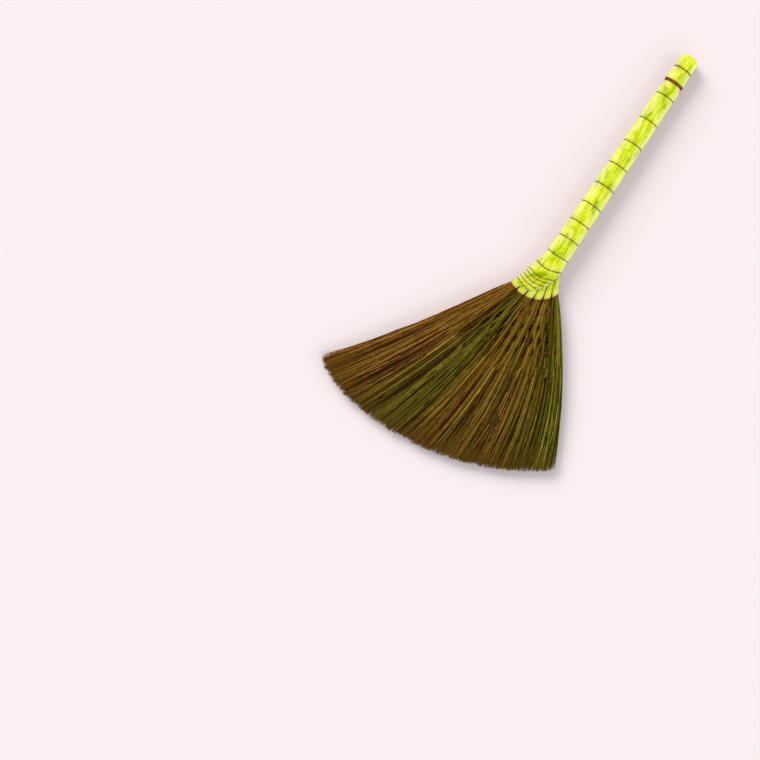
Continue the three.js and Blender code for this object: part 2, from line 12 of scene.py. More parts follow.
import bmesh
import bpy
import numpy as np
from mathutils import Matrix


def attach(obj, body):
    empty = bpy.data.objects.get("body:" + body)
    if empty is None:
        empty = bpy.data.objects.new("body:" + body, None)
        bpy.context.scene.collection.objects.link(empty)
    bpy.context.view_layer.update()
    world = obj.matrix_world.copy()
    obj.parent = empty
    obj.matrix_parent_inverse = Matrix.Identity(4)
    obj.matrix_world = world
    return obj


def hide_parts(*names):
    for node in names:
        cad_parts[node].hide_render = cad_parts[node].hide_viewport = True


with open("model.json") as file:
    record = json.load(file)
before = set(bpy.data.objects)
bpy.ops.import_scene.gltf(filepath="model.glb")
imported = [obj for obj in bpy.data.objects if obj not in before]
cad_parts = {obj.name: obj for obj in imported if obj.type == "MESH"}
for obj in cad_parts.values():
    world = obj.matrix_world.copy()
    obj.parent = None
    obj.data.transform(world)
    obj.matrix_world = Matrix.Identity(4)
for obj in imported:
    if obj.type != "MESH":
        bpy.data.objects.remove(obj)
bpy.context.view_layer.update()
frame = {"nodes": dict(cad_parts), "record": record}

butt_end = frame["record"]["mounts"][0]["pos_m"]
print("solids:", len(frame["nodes"]), "butt end at", butt_end)

# %% [markdown]
# ## The flow of the reeds
# Six bundles of reeds lie side by side through the whole broom. Two numbers find any reed: `across` counts
# the bundles from the short side of the fan, 0, to the long side, 6, and `along` is the way in metres from
# where the handle starts to open, negative up the handle. Film, twine and reeds could each be modelled by
# eye, but with one flow for all of them they lie on each other.

# %% Sizes that drive the flow
MM = 0.001
BUNDLES = 6
HANDLE_LENGTH = 400 * MM
BUTT_RADIUS = 16.5 * MM
GRIP_RADIUS = 20 * MM
TWINE_LIFT = 1.92 * MM  # the handle lies on its twine
NECK_TOP = 40 * MM  # from the fan's apex to where the handle starts to open
NECK_REACH = 0.385  # pull of a bundle's two ends on its curve
NECK_HALF_DEPTH = 14 * MM
TIE_RADIUS = (61 * MM, 88 * MM)  # short side, long side
TIE_ANGLE = (math.radians(40.4), math.radians(-31.3))
TIE_HEIGHT = 19 * MM
TIP_ANGLE = (math.radians(33), math.radians(-33))
TIP_RADIUS = (376 * MM, 408 * MM, 466 * MM)  # short side, middle, long side
CORNER_LENGTH = 14 * MM  # the long side's corner is rounded back by this
CORNER_POWER = 24  # higher is a sharper corner
FAN_BULGE = 1.5  # higher bows its sides out more
FAN_HEIGHT = 10.1 * MM
SEWN_LENGTH = 110 * MM
BELLY_PLACE = 0.72  # of the free length, where the fan meets the floor
NECK_LENGTH = NECK_TOP + sum(TIE_RADIUS) / 2
APEX = np.array([butt_end[0], butt_end[1] - HANDLE_LENGTH - NECK_TOP])
print("neck length in mm:", round(NECK_LENGTH / MM, 1), "apex of the fan at", np.round(APEX, 4))


# %% Blending and turning
def lerp(a, b, share):
    return a + (b - a) * share


def smooth(value, low, high):
    """0 below low, 1 above high and a soft slope between them."""
    share = np.clip((value - low) / (high - low), 0, 1)
    return share * share * (3 - 2 * share)


def bell(distance, width):
    """1 at no distance, fading softly to 0 over a few widths."""
    return np.exp(-((distance / width) ** 2))


def polar(radius, angle):
    """A point of the plan, at an angle from the handle's line."""
    return np.stack([radius * np.sin(angle), -radius * np.cos(angle)], axis=-1)


def side_of(across):
    """1 on the short side, -1 on the long side."""
    return 1 - 2 * across / BUNDLES


print("a soft slope in quarters:", smooth(np.linspace(0, 1, 5), 0, 1))


# %% Lengths and depths
def tie_radius(across):
    return lerp(*TIE_RADIUS, np.sin(np.pi / 2 * across / BUNDLES))


def reed_length(across):
    """From a bundle's tie to its tip, by a parabola through three radii."""
    share = across / BUNDLES
    short, middle, long = TIP_RADIUS
    sag = middle - (short + long) / 2
    corner = CORNER_LENGTH * share**CORNER_POWER
    return lerp(short, long, share) + 4 * sag * share * (1 - share) - corner - tie_radius(across)


def grip_radius(along):
    return lerp(BUTT_RADIUS, GRIP_RADIUS, 1 + np.minimum(along, 0) / HANDLE_LENGTH)


def round_depth(along):
    """Half the depth of all bundles together."""
    opening = lerp(GRIP_RADIUS, NECK_HALF_DEPTH, smooth(along, 0, NECK_LENGTH))
    return np.where(along <= 0, grip_radius(along), opening)


fan_sides = np.array([0, BUNDLES])
print("reeds at the two sides in mm:", np.round(reed_length(fan_sides) / MM))


# %% Plan of the neck and of the fan
def neck_plan(across, along):
    """A cubic curve from the handle to a bundle's tie."""
    side = side_of(across)
    start = np.stack([GRIP_RADIUS * side, np.full_like(side, NECK_TOP)], axis=-1)
    angle = lerp(*TIE_ANGLE, across / BUNDLES)
    end = polar(tie_radius(across), angle)
    reach = NECK_REACH * np.linalg.norm(end - start, axis=-1)
    first = start + polar(reach, np.zeros_like(angle))
    second = end - polar(reach, angle)
    t = np.clip(along / NECK_LENGTH, 0, 1)[..., None]
    return (1 - t) ** 3 * start + 3 * (1 - t) ** 2 * t * first + 3 * (1 - t) * t**2 * second + t**3 * end


def fan_plan(across, along):
    """Reeds turn from one angle at their tie to another at their tip."""
    past = np.maximum(along - NECK_LENGTH, 0)
    swept = (past / reed_length(across)) ** FAN_BULGE
    share = across / BUNDLES
    angle = lerp(lerp(*TIE_ANGLE, share), lerp(*TIP_ANGLE, share), swept)
    return polar(tie_radius(across) + past, angle)


print("ties at the two sides in mm:", np.round(fan_plan(fan_sides, NECK_LENGTH) / MM).tolist())


# %% Points of the broom
def mid_height(across, along):
    """Height of the reeds' middle above the floor."""
    handle = grip_radius(along) + TWINE_LIFT
    neck = lerp(handle, TIE_HEIGHT, smooth(along, 0, NECK_LENGTH))
    belly = lerp(SEWN_LENGTH, reed_length(across), BELLY_PLACE)
    fan = lerp(TIE_HEIGHT, FAN_HEIGHT, np.clip((along - NECK_LENGTH) / belly, 0, 1))
    return np.where(along <= NECK_LENGTH, neck, fan)


def place(across, along, rise):
    """Points of the broom, one for each across, along and rise above the middle of the reeds."""
    across, along, rise = (np.asarray(a, float) for a in np.broadcast_arrays(across, along, rise))
    handle = np.stack([grip_radius(along) * side_of(across), NECK_TOP - along], axis=-1)
    in_neck = (along <= NECK_LENGTH)[..., None]
    opened = np.where(in_neck, neck_plan(across, along), fan_plan(across, along))
    plan = APEX + np.where((along <= 0)[..., None], handle, opened)
    return np.concatenate([plan, (mid_height(across, along) + rise)[..., None]], axis=-1)


def pitch_at(across, along):
    """Metres from one bundle to the next."""
    half = 0.5
    return np.linalg.norm(place(across + half, along, 0) - place(across - half, along, 0), axis=-1)


print("fan corners:", np.round(place(fan_sides, NECK_LENGTH + reed_length(fan_sides), 0), 3).tolist())

# %% [markdown]
# ## Three helpers for finishes
# A finish is a few shader nodes. One function turns a colour as a web page writes it into the linear numbers
# that Blender wants, one starts a material with the values that are the same all over it, and one adds a
# node, sets it and links it. Nodes can be clicked together by hand too, but a script stays a short list.


# %% Colour and node helpers
def srgb(code):
    """A hex colour as linear red, green, blue and alpha, by the sRGB curve."""
    values = [int(code[i : i + 2], 16) / 255 for i in (1, 3, 5)]
    linear = [v / 12.92 if v <= 0.04045 else ((v + 0.055) / 1.055) ** 2.4 for v in values]
    return (*linear, 1)


def new_finish(name, constants):
    """A material, its nodes and its shader, with the values that are the same all over it."""
    finish = bpy.data.materials.new(name)
    finish.use_nodes = True
    shader = finish.node_tree.nodes["Principled BSDF"]
    for socket, value in constants.items():
        shader.inputs[socket].default_value = value
    print("finish:", name)
    return finish, finish.node_tree, shader


def add(tree, kind, inputs=None, stops=(), output=0, **settings):
    """Adds a node and returns an output. Inputs map a socket to a value or an output; stops are a ramp's."""
    node = tree.nodes.new(kind)
    for name, value in settings.items():
        setattr(node, name, value)
    for socket, value in (inputs or {}).items():
        if isinstance(value, bpy.types.NodeSocket):
            tree.links.new(value, node.inputs[socket])
        else:
            node.inputs[socket].default_value = value
    for i, (position, colour) in enumerate(stops):
        element = node.color_ramp.elements[i] if i < 2 else node.color_ramp.elements.new(position)
        element.position = position
        element.color = srgb(colour)
    return node.outputs[output]


MIX_A, MIX_B, MIX_COLOUR = 6, 7, 2  # sockets of a Mix node that mixes colours
print("mid grey in linear light:", round(srgb("#808080")[0], 3))

# %% [markdown]
# ## Lime plastic film
# The wrap is thin polyethylene film, pulled tight over the stalks in many layers. Light goes a little way
# into it, and its flat places are deep lime. Its colour also carries painted light: painted highlights make
# its folds pale, painted shade makes dark streaks in the grooves between stalks, and a painted sheen makes
# the handle's two sides paler. A picture of film could be wrapped round, but it would repeat and blur. These
# patterns are sized in millimetres on the film's own map, so one finish fits every wrap. The sleeves' version
# has less pale bloom, to keep the creases between them dark, and painted shade darkens its sides where they
# touch.

# %% Patterns and colours of the film
FILM_PATTERNS = {  # size round the handle and along it, and the noise's own settings
    "patches": ((11 * MM, 24 * MM), {"Detail": 3, "Distortion": 0.6}),
    "streaks": ((1.7 * MM, 42 * MM), {"Detail": 2}),
    "folds": ((2.4 * MM, 34 * MM), {"Detail": 3, "Distortion": 0.2}),
}
FILM_LIMES = [(0.32, "#a2ba00"), (0.44, "#cee200"), (0.56, "#e6f20a"), (0.7, "#f8fd78")]
FILM_TINTS = [  # a pattern, the colour that it adds and, as greys, how much of it
    # painted sheen: the handle's two sides, and its folds, made paler
    ("painted_sheen", "#fcffb4", [(0.95, "#000000"), (1.0, "#a0a0a0")]),
    # painted shade: dark streaks in the grooves between the stalks
    ("streaks", "#8aa200", [(0.34, "#dcdcdc"), (0.42, "#000000")]),
    # painted highlight: pale glints along the folds
    ("folds", "#feffb8", [(0.57, "#000000"), (0.72, "#d0d0d0")]),
]
# painted shade in the creases between neighbouring sleeves
CREASE_SHADE = "#1c2000"
FOLD_WEIGHT = 1.6  # of the folds, in the painted sheen on the handle's sides
RELIEF_DEPTH = 0.7 * MM
RELIEF_STRENGTH = 0.6
print("film patterns:", *FILM_PATTERNS)


# %% Film finish
def film_finish(name, sheen):
    """Lime film. Sheen is the pale bloom where the light grazes it."""
    # Film is slick and lets light in: soft highlights, a glow in the folds and a pale bloom where light
    # grazes it.
    # Its colour adds painted sheen on the handle's sides, painted fold highlights, and painted shade in
    # grooves and creases
    constants = {
        "Roughness": 0.36,
        "IOR": 1.51,
        "Specular IOR Level": 0.16,
        "Subsurface Weight": 0.75,
        "Subsurface Radius": (1, 1, 0.2),
        "Subsurface Scale": 20 * MM,
        "Sheen Weight": sheen,
        "Sheen Roughness": 0.45,
        "Sheen Tint": srgb("#fdffcc"),
    }
    finish, tree, shader = new_finish(name, constants)
    film_map = add(tree, "ShaderNodeUVMap")
    pattern = {}
    for kind, ((width, length), settings) in FILM_PATTERNS.items():
        stretch = {"Vector": film_map, "Scale": (1 / width, 1 / length, 1)}
        stretched = add(tree, "ShaderNodeMapping", stretch)
        pattern[kind] = add(tree, "ShaderNodeTexNoise", {"Vector": stretched, "Scale": 1, **settings})
    # painted sheen: the layers attribute marks the handle's sides, which are painted paler
    layers = add(tree, "ShaderNodeAttribute", output="Fac", attribute_name="layers")
    painted_sheen = {0: pattern["folds"], 1: FOLD_WEIGHT, 2: layers}
    pattern["painted_sheen"] = add(tree, "ShaderNodeMath", painted_sheen, operation="MULTIPLY_ADD")

    colour = add(tree, "ShaderNodeValToRGB", {"Fac": pattern["patches"]}, stops=FILM_LIMES)
    # the tints paint light and shade into the colour: sheen on the sides, shade in grooves, highlights on
    # folds
    for kind, tint, greys in FILM_TINTS:
        share = add(tree, "ShaderNodeValToRGB", {"Fac": pattern[kind]}, stops=greys)
        tinted = {0: share, MIX_A: colour, MIX_B: srgb(tint)}
        colour = add(tree, "ShaderNodeMix", tinted, output=MIX_COLOUR, data_type="RGBA")
    # painted shade on the sleeves' sides where they touch a neighbour
    painted_crease_shade = add(tree, "ShaderNodeAttribute", output="Fac", attribute_name="painted_crease_shade")
    shaded = {0: painted_crease_shade, MIX_A: colour, MIX_B: srgb(CREASE_SHADE)}
    colour = add(tree, "ShaderNodeMix", shaded, output=MIX_COLOUR, data_type="RGBA")
    tree.links.new(colour, shader.inputs["Base Color"])

    relief = {0: pattern["streaks"], 1: pattern["folds"]}
    height = add(tree, "ShaderNodeMath", relief, operation="ADD")
    bump = {"Height": height, "Strength": RELIEF_STRENGTH, "Distance": RELIEF_DEPTH}
    tree.links.new(add(tree, "ShaderNodeBump", bump), shader.inputs["Normal"])
    return finish


lime_film = film_finish("lime_polyethylene_film", 0.5)
sleeve_film = film_finish("lime_sleeve_film", 0.1)

# %% [markdown]
# ## Twisted twine
# The bindings are thin twine of two yarns twisted together. The twist could be a bump, but here it is
# modelled, so the finish only needs the yarn: matt and uneven in colour. The bindings differ only in their
# dye.

# %% Twine finishes
YARN_SPOT = 3 * MM
YARN_RANGE = (0.35, 0.65)  # of the noise, from dark dye to light


def twine_finish(name, dark, light):
    # Yarn is a brush of fine fibres: it scatters light every way, so it looks matt and blotchy
    finish, tree, shader = new_finish(name, {"Roughness": 0.85})
    spot = add(tree, "ShaderNodeTexCoord", output="Object")
    uneven = add(tree, "ShaderNodeTexNoise", {"Vector": spot, "Scale": 1 / YARN_SPOT, "Detail": 3})
    dye = add(tree, "ShaderNodeValToRGB", {"Fac": uneven}, stops=zip(YARN_RANGE, (dark, light)))
    tree.links.new(dye, shader.inputs["Base Color"])
    return finish


brown_twine = twine_finish("brown_twisted_twine", "#4a2a00", "#744600")
orange_twine = twine_finish("orange_twisted_twine", "#4a2200", "#7c3c06")
butt_twine = twine_finish("red_brown_twisted_twine", "#5a2406", "#9a4a1c")
tie_twine = twine_finish("orange_tie_twine", "#6a3008", "#a04c14")
stitch_thread = twine_finish("stitching_thread", "#7a3010", "#a84e1c")

# %% [markdown]
# ## Dried reed tops
# Broom grass dries to browns, and some bundles are dyed olive green. No two reeds match, so each carries its
# own numbers as attributes: how green it is, how pale, with painted shade taken off the paleness deep in the
# fan and in the stitching's slits, and how near its tip a point lies. The finish turns them into colour.
# Painting each reed by hand would take for ever, and one colour would look like plastic.

# %% Reed finish
REED_GRAIN = 6 * MM
GRAIN_SWING = 0.35  # of paleness, along a reed
BLEACH = 0.45  # at the tip
BLEACHED_REED = "#7d5c20"
REED_BROWNS = [(0.05, "#190b01"), (0.45, "#643606"), (0.75, "#985c17"), (1.0, "#c08c3e")]
REED_GREENS = [(0.05, "#141201"), (0.45, "#55500a"), (0.75, "#84801a"), (1.0, "#b0aa44")]

# Dry grass has a thin dull skin: hardly any highlight, and a colour that wanders along every reed
reed_finish, tree, shader = new_finish("dried_broom_grass", {"Roughness": 0.6, "Specular IOR Level": 0.06})
look = {}
for name in ("green", "pale", "tip"):
    look[name] = add(tree, "ShaderNodeAttribute", output="Fac", attribute_name=name)
spot = add(tree, "ShaderNodeTexCoord", output="Object")
grain = add(tree, "ShaderNodeTexNoise", {"Vector": spot, "Scale": 1 / REED_GRAIN, "Detail": 2})
swing = {0: grain, 1: GRAIN_SWING, 2: -GRAIN_SWING / 2}
shift = add(tree, "ShaderNodeMath", swing, operation="MULTIPLY_ADD")
# the paleness already has painted shade taken off it, deep in the fan and in the slits
tone = add(tree, "ShaderNodeMath", {0: look["pale"], 1: shift}, operation="ADD")
brown = add(tree, "ShaderNodeValToRGB", {"Fac": tone}, stops=REED_BROWNS)
green = add(tree, "ShaderNodeValToRGB", {"Fac": tone}, stops=REED_GREENS)
dyes = {0: look["green"], MIX_A: brown, MIX_B: green}
dyed = add(tree, "ShaderNodeMix", dyes, output=MIX_COLOUR, data_type="RGBA")
bleach = add(tree, "ShaderNodeMath", {0: look["tip"], 1: BLEACH}, operation="MULTIPLY")
faded = {0: bleach, MIX_A: dyed, MIX_B: srgb(BLEACHED_REED)}
bleached = add(tree, "ShaderNodeMix", faded, output=MIX_COLOUR, data_type="RGBA")
tree.links.new(bleached, shader.inputs["Base Color"])

# %% [markdown]
# ## Bare stalks
# Inside the wrap the stalks are packed tight and hardly show. New meshes would be wasted there, so their
# solids stay, with a straw finish whose streaks run along the handle.

# %% Stalk finish on the solids
STALK_STREAK = (1.5 * MM, 40 * MM, 1.5 * MM)
STRAWS = [(0.3, "#7d6428"), (0.6, "#c4a95a"), (0.75, "#dcc98a")]

# A dry stalk is dull straw: it hardly shines, and long fine streaks show which way it runs
bare_stalk, tree, shader = new_finish("dry_grass_stalk", {"Roughness": 0.7})
spot = add(tree, "ShaderNodeTexCoord", output="Object")
stretch = {"Vector": spot, "Scale": [1 / size for size in STALK_STREAK]}
stretched = add(tree, "ShaderNodeMapping", stretch)
streaks = add(tree, "ShaderNodeTexNoise", {"Vector": stretched, "Scale": 1, "Detail": 3})
straw = add(tree, "ShaderNodeValToRGB", {"Fac": streaks}, stops=STRAWS)
tree.links.new(straw, shader.inputs["Base Color"])

stalk_nodes = [f"stalk_bundle_{i + 1}" for i in range(BUNDLES)]
for name in stalk_nodes:
    frame["nodes"][name].data.materials.clear()
    frame["nodes"][name].data.materials.append(bare_stalk)
print("stalk solids:", len(stalk_nodes))

# %% [markdown]
# ## Skins from a flat sheet
# A film wrap starts as a flat grid, as real film does. The grid's width goes round the stalks and its height
# along them: each corner is moved to its place on the flow, and the two long edges are welded. This keeps an
# even map for the finish, which a spun tube that is bent afterwards would lose.

# %% Wrap a grid into a skin
WELD = 0.01 * MM


def keep(piece, finish, slot, *nodes):
    """Finishes a piece, lets it ride on the broom and hides the solids it stands for."""
    piece.data.materials.append(finish)
    piece.visible_diffuse = slot != "lime_film"  # so the film throws no lime light on the floor
    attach(piece, "root")
    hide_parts(*nodes)
    return piece


def shown(name, data):
    """A new object in the scene for a mesh, a curve, a light or a camera."""
    thing = bpy.data.objects.new(name, data)
    bpy.context.scene.collection.objects.link(thing)
    return thing


def piece_from(name, mesh):
    mesh.shade_smooth()
    return shown(name, mesh)


def turned(share):
    """The angle for a share of a turn that starts at the underside, where a seam hides."""
    return 2 * np.pi * share - np.pi / 2


def wrapped_sheet(name, grid, size, shape, mark, marked):
    """A grid whose corners go where shape says, for their share of the way round and along. Size is the
    sheet's, in metres. Mark names an attribute for the finish, and marked gives its value at an angle."""
    bm = bmesh.new()
    film_uv = bm.loops.layers.uv.new("film")
    side_mark = bm.verts.layers.float.new(mark)
    bmesh.ops.create_grid(bm, x_segments=grid[0], y_segments=grid[1], size=0.5, calc_uvs=True)
    shares = np.array([v.co.to_tuple() for v in bm.verts]) + 0.5
    around, up = shares[:, 0], shares[:, 1]
    for vert, point, value in zip(bm.verts, shape(around, up), marked(turned(around))):
        vert.co = point
        vert[side_mark] = value
    for face in bm.faces:
        for loop in face.loops:
            loop[film_uv].uv = (loop[film_uv].uv.x * size[0], loop[film_uv].uv.y * size[1])
    bmesh.ops.remove_doubles(bm, verts=bm.verts, dist=WELD)
    bmesh.ops.recalc_face_normals(bm, faces=bm.faces)
    mesh = bpy.data.meshes.new(name)
    bm.to_mesh(mesh)
    bm.free()
    return piece_from(name, mesh)


print("edges within", WELD / MM, "mm are welded")

# %% [markdown]
# ## The handle's film
# One sheet runs from the butt to the last tie of the neck. It is drawn in under every turn of twine, stands a
# little proud between them, and shows the stalks as long ridges. At the neck it lets the bundles out one by
# one on the short side, and at the butt it folds flat over the stalks' ends. A cloth simulation could wrap
# it, but a formula for the film's height puts every dent exactly under its twine.

# %% Places of the bindings
LAST_RING = NECK_LENGTH - 58 * MM
RING_FIRST_GAP = 29 * MM
RING_GAP_GROWTH = 3.05 * MM  # from gap to gap towards the butt
BUTT_BINDING = 59.5 * MM - HANDLE_LENGTH
BUTT_TURNS = 3
END_TURN = 28.5 * MM - HANDLE_LENGTH
NECK_TIE_COUNT = 5
NECK_TIE_PITCH = 6.75 * MM
LAST_NECK_TIE = NECK_LENGTH - 13 * MM
NECK_TIES = [LAST_NECK_TIE - NECK_TIE_PITCH * (NECK_TIE_COUNT - 1 - i) for i in range(NECK_TIE_COUNT)]

rings = [LAST_RING]
gap = RING_FIRST_GAP
while rings[-1] - gap > BUTT_BINDING + RING_FIRST_GAP / 2:
    rings.append(rings[-1] - gap)
    gap += RING_GAP_GROWTH
print("rings along the handle, in mm:", np.round(np.array(rings) / MM))

# %% How far the film stands off the stalks
RIDGES = np.array([17, 23, 31, 38])
RIDGE_HEIGHT = np.array([0.28, 0.3, 0.22, 0.16]) * MM
RIDGE_WANDER = np.array([95, 70, 52, 41]) * MM  # one wave of their drift along the handle
RIDGE_SWING = 0.4  # how much they fade here and there
RIDGE_FADES = 3  # times round the handle
RIDGE_FADE_LENGTH = 14 * MM
DENT_DEPTH = 0.85 * MM
DENT_LENGTH = 2.6 * MM
BUTT_DENT_PITCH = 2.32 * MM
PUFF = 0.7 * MM
HANDLE_PLEATS = 14
PLEAT_REACH = 6 * MM
PLEAT_DEPTH = 0.22 * MM
PLEAT_TURN = 2.4  # radians, from one binding to the next
SLANT_PLACES = [0, rings[1], LAST_RING, NECK_TIES[0], NECK_TIES[-1]]
SLANTS = np.array([0, 8, 10, 6, 4]) * MM  # how far down the twine drifts on the short side

dent_places = [*rings, *NECK_TIES, END_TURN]
dent_places += [BUTT_BINDING + i * BUTT_DENT_PITCH for i in range(BUTT_TURNS)]


def slant(angle, along):
    """How far down the twine drifts from its place, most on the short side."""
    return np.interp(along, SLANT_PLACES, SLANTS) * ((1 + np.cos(angle)) / 2) ** 2


def film_relief(angle, along):
    """How far the film stands off its smooth section."""
    bound = along - slant(angle, along)
    dents = np.clip(sum(bell(bound - at, DENT_LENGTH) for at in dent_places), 0, 1)
    ridges = sum(
        height * np.sin(count * angle + 2 * np.pi * along / wander + count)
        for count, height, wander in zip(RIDGES, RIDGE_HEIGHT, RIDGE_WANDER)
    )
    pleats = sum(
        bell(bound - at, PLEAT_REACH) * np.sin(HANDLE_PLEATS * angle + PLEAT_TURN * i)
        for i, at in enumerate(dent_places)
    )
    fading = 1 - RIDGE_SWING + RIDGE_SWING * np.sin(RIDGE_FADES * angle + along / RIDGE_FADE_LENGTH)
    return (PUFF + ridges * fading) * (1 - dents) - DENT_DEPTH * dents + PLEAT_DEPTH * pleats


between = (rings[1] + rings[2]) / 2
print("film between two rings stands off by", round(film_relief(np.pi / 2, between) / MM, 2), "mm")

# %% Section of the film
NECK_DEPTH_END = 10.4 * MM
NECK_SLACK = 1.3 * MM
NECK_SPREAD = 0.35  # in bundles, on the long side
SPREAD_PLACE = 66 * MM
SPREAD_LENGTH = 25 * MM
FILM_END = NECK_TIES[-1] + 5 * MM
BLUNT_PLACES = [0, LAST_RING, NECK_TIES[0], FILM_END]
BLUNTNESS = [1, 0.8, 0.62, 0.5]  # 1 is an ellipse, less fills its corners
LEFT_PLACES = [0, LAST_RING + 9 * MM, *(at + 4 * MM for at in NECK_TIES)]
LEFT_BUNDLES = [0, 0, 1, 1.4, 2.1, 3.2, 4]  # already out of the film there


def blunted(wave, bluntness):
    """A sine or cosine that fills the corners of a section."""
    return np.sign(wave) * np.abs(wave) ** bluntness


def film_point(angle, along, lift=0.0):
    """A point lifted off the film by lift. Angle is 0 at the short side and a quarter turn at the top."""
    left = np.interp(along, LEFT_PLACES, LEFT_BUNDLES)
    middle = (left + BUNDLES) / 2
    slack = NECK_SLACK * smooth(along, LAST_RING, NECK_TIES[0])
    depth = lerp(round_depth(along), NECK_DEPTH_END, smooth(along, LAST_RING, NECK_TIES[-1])) + slack
    stand = film_relief(angle, along) + lift
    half_width = (BUNDLES - left) / 2 + stand / pitch_at(middle, along)
    bluntness = np.interp(along, BLUNT_PLACES, BLUNTNESS)
    spread = NECK_SPREAD * bell(along - SPREAD_PLACE, SPREAD_LENGTH) * np.clip(-np.cos(angle), 0, 1)
    across = middle - half_width * blunted(np.cos(angle), bluntness) + spread
    return place(across, along, (depth + stand) * blunted(np.sin(angle), bluntness))


print("top of the film where the neck starts:", np.round(film_point(np.pi / 2, np.zeros(1)), 4).tolist())

# %% Ends of the film
FILM_CAP = 0.02  # of the sheet's height, turned in at each end
BUTT_ROUND = 2.5 * MM


def handle_film_shape(around, up):
    """Two shares of the sheet to a point: its ends close over the butt and inside the neck."""
    along = lerp(-HANDLE_LENGTH, FILM_END, np.clip((up - FILM_CAP) / (1 - 2 * FILM_CAP), 0, 1))
    middle = lerp(np.interp(along, LEFT_PLACES, LEFT_BUNDLES), BUNDLES, 0.5)
    rounding = BUTT_ROUND / BUTT_RADIUS
    butt = 1 - up / FILM_CAP * (1 - rounding)
    edge = bell(along + HANDLE_LENGTH, BUTT_ROUND) * rounding
    neck = np.maximum((up - 1 + FILM_CAP) / FILM_CAP, edge)
    inward = np.where(up < FILM_CAP, butt, neck)
    return lerp(film_point(turned(around), along), place(middle, along, 0), inward[:, None])


print("the edge at the butt is rounded by", BUTT_ROUND / MM, "mm")

# %% Handle film
PAINTED_SHEEN_SIDE = (0.35, 1)  # of the handle's half width
HANDLE_GRID = (96, 330)


def painted_sheen_share(angle):
    """How much painted sheen lightens the film there, most on the handle's two sides as seen from above."""
    return smooth(np.abs(np.cos(angle)), *PAINTED_SHEEN_SIDE)


sheet = (2 * np.pi * GRIP_RADIUS, HANDLE_LENGTH + FILM_END)
# the layers attribute carries the painted sheen on the handle's two sides
handle_film = wrapped_sheet("handle_film", HANDLE_GRID, sheet, handle_film_shape, "layers", painted_sheen_share)
keep(handle_film, lime_film, "lime_film", "handle_wrap")
print("handle film:", len(handle_film.data.polygons), "faces")

# %% [markdown]
# ## Sleeves on the bundles
# Where a bundle leaves the neck, its own film swells out like a small sausage and is choked by a tie. Six
# tubes could be sculpted and fitted by hand. Here each sleeve is a sheet wrapped like the handle's. It starts
# inside the neck's film, so no edge shows, and its pleats gather towards the tie.

# %% Section of a sleeve
SLEEVE_HALF_DEPTH = 10.2 * MM
SLEEVE_SWELL = (0.8, 1.05)  # width at the neck and at its fattest
SLEEVE_BLUNT = (0.8, 1)  # inside the neck and past it
SLEEVE_TUCK = 0.88  # depth of a sleeve inside the neck
SWELL_LEAD = 4 * MM  # it starts to swell this far before the tie that lets it out
PACKED_DEPTH = 0.96  # of the round section, in the handle
PACKED_SIDE = 0.95  # of its half width
TIE_PLACE = NECK_LENGTH + 1.5 * MM  # middle of a bundle's tie
TIE_PINCH = 0.66
SHOULDER = 12 * MM  # the rounded end above its tie
SHOULDER_END = 0.98  # of a quarter circle
SHOULDER_DROP = 0.8  # how far that part comes down
PLEATS = 11
PLEAT_HEIGHT = 0.55 * MM
PLEAT_LEAST = 0.4  # of that height, away from the tie
SLEEVE_TURN = 3  # radians, from one sleeve to the next
LEAVING = [*NECK_TIES, NECK_TIES[-1]]


def sleeve_point(bundle, angle, along, lift=0.0):
    """A point on one bundle's sleeve, lifted off it by lift."""
    middle = bundle + 0.5
    packed = PACKED_DEPTH * round_depth(along) * np.sqrt(1 - (PACKED_SIDE * side_of(middle)) ** 2)
    out = np.clip((along - LAST_RING) / (NECK_LENGTH - SHOULDER - LAST_RING), 0, 1)
    depth = lerp(packed, SLEEVE_HALF_DEPTH, out)
    swell = smooth(along, LEAVING[bundle] - SWELL_LEAD, (LEAVING[bundle] + NECK_LENGTH) / 2)
    choke = 1 - np.sqrt(1 - np.clip((along - TIE_PLACE) / SHOULDER + 1, 0, SHOULDER_END) ** 2)
    size = lerp(1, TIE_PINCH, choke / SHOULDER_DROP)
    pleats = PLEAT_HEIGHT * np.sin(PLEATS * angle + SLEEVE_TURN * bundle) * lerp(PLEAT_LEAST, 1, choke)
    stand = pleats + lift
    half_width = 0.5 * size * lerp(*SLEEVE_SWELL, swell) + stand / pitch_at(middle, along)
    half_depth = depth * size * lerp(SLEEVE_TUCK, 1, swell)
    bluntness = lerp(*SLEEVE_BLUNT, swell)
    across = middle - half_width * blunted(np.cos(angle), bluntness)
    return place(across, along, (half_depth + stand) * blunted(np.sin(angle), bluntness))


print("top of the first sleeve:", np.round(sleeve_point(0, np.pi / 2, np.full(1, NECK_LENGTH)), 4))

# %% Sleeves
SLEEVE_START = LAST_RING - 4 * MM
SLEEVE_LIP = TIE_PLACE + 1.5 * MM
SLEEVE_CAP = 0.06  # of the sheet's height, turned in at each end
SLEEVE_GRID = (48, 60)
CREASE_SIDE = (0.8, 0.97)  # of a sleeve's half width


def sleeve_shape(bundle, around, up):
    """Two shares of a sleeve's sheet to a point: its ends close inside the bundle."""
    along = lerp(SLEEVE_START, SLEEVE_LIP, np.clip((up - SLEEVE_CAP) / (1 - 2 * SLEEVE_CAP), 0, 1))
    inward = np.clip(np.maximum(SLEEVE_CAP - up, up - 1 + SLEEVE_CAP) / SLEEVE_CAP, 0, 1)
    skin = sleeve_point(bundle, turned(around), along)
    return lerp(skin, place(bundle + 0.5, along, 0), inward[:, None])


def crease_shade_at(bundle, angle):
    """Painted shade on a sleeve's sides: dark only where it faces a neighbour."""
    faces = np.where(np.cos(angle) > 0, bundle > 0, bundle < BUNDLES - 1)
    return faces * smooth(np.abs(np.cos(angle)), *CREASE_SIDE)


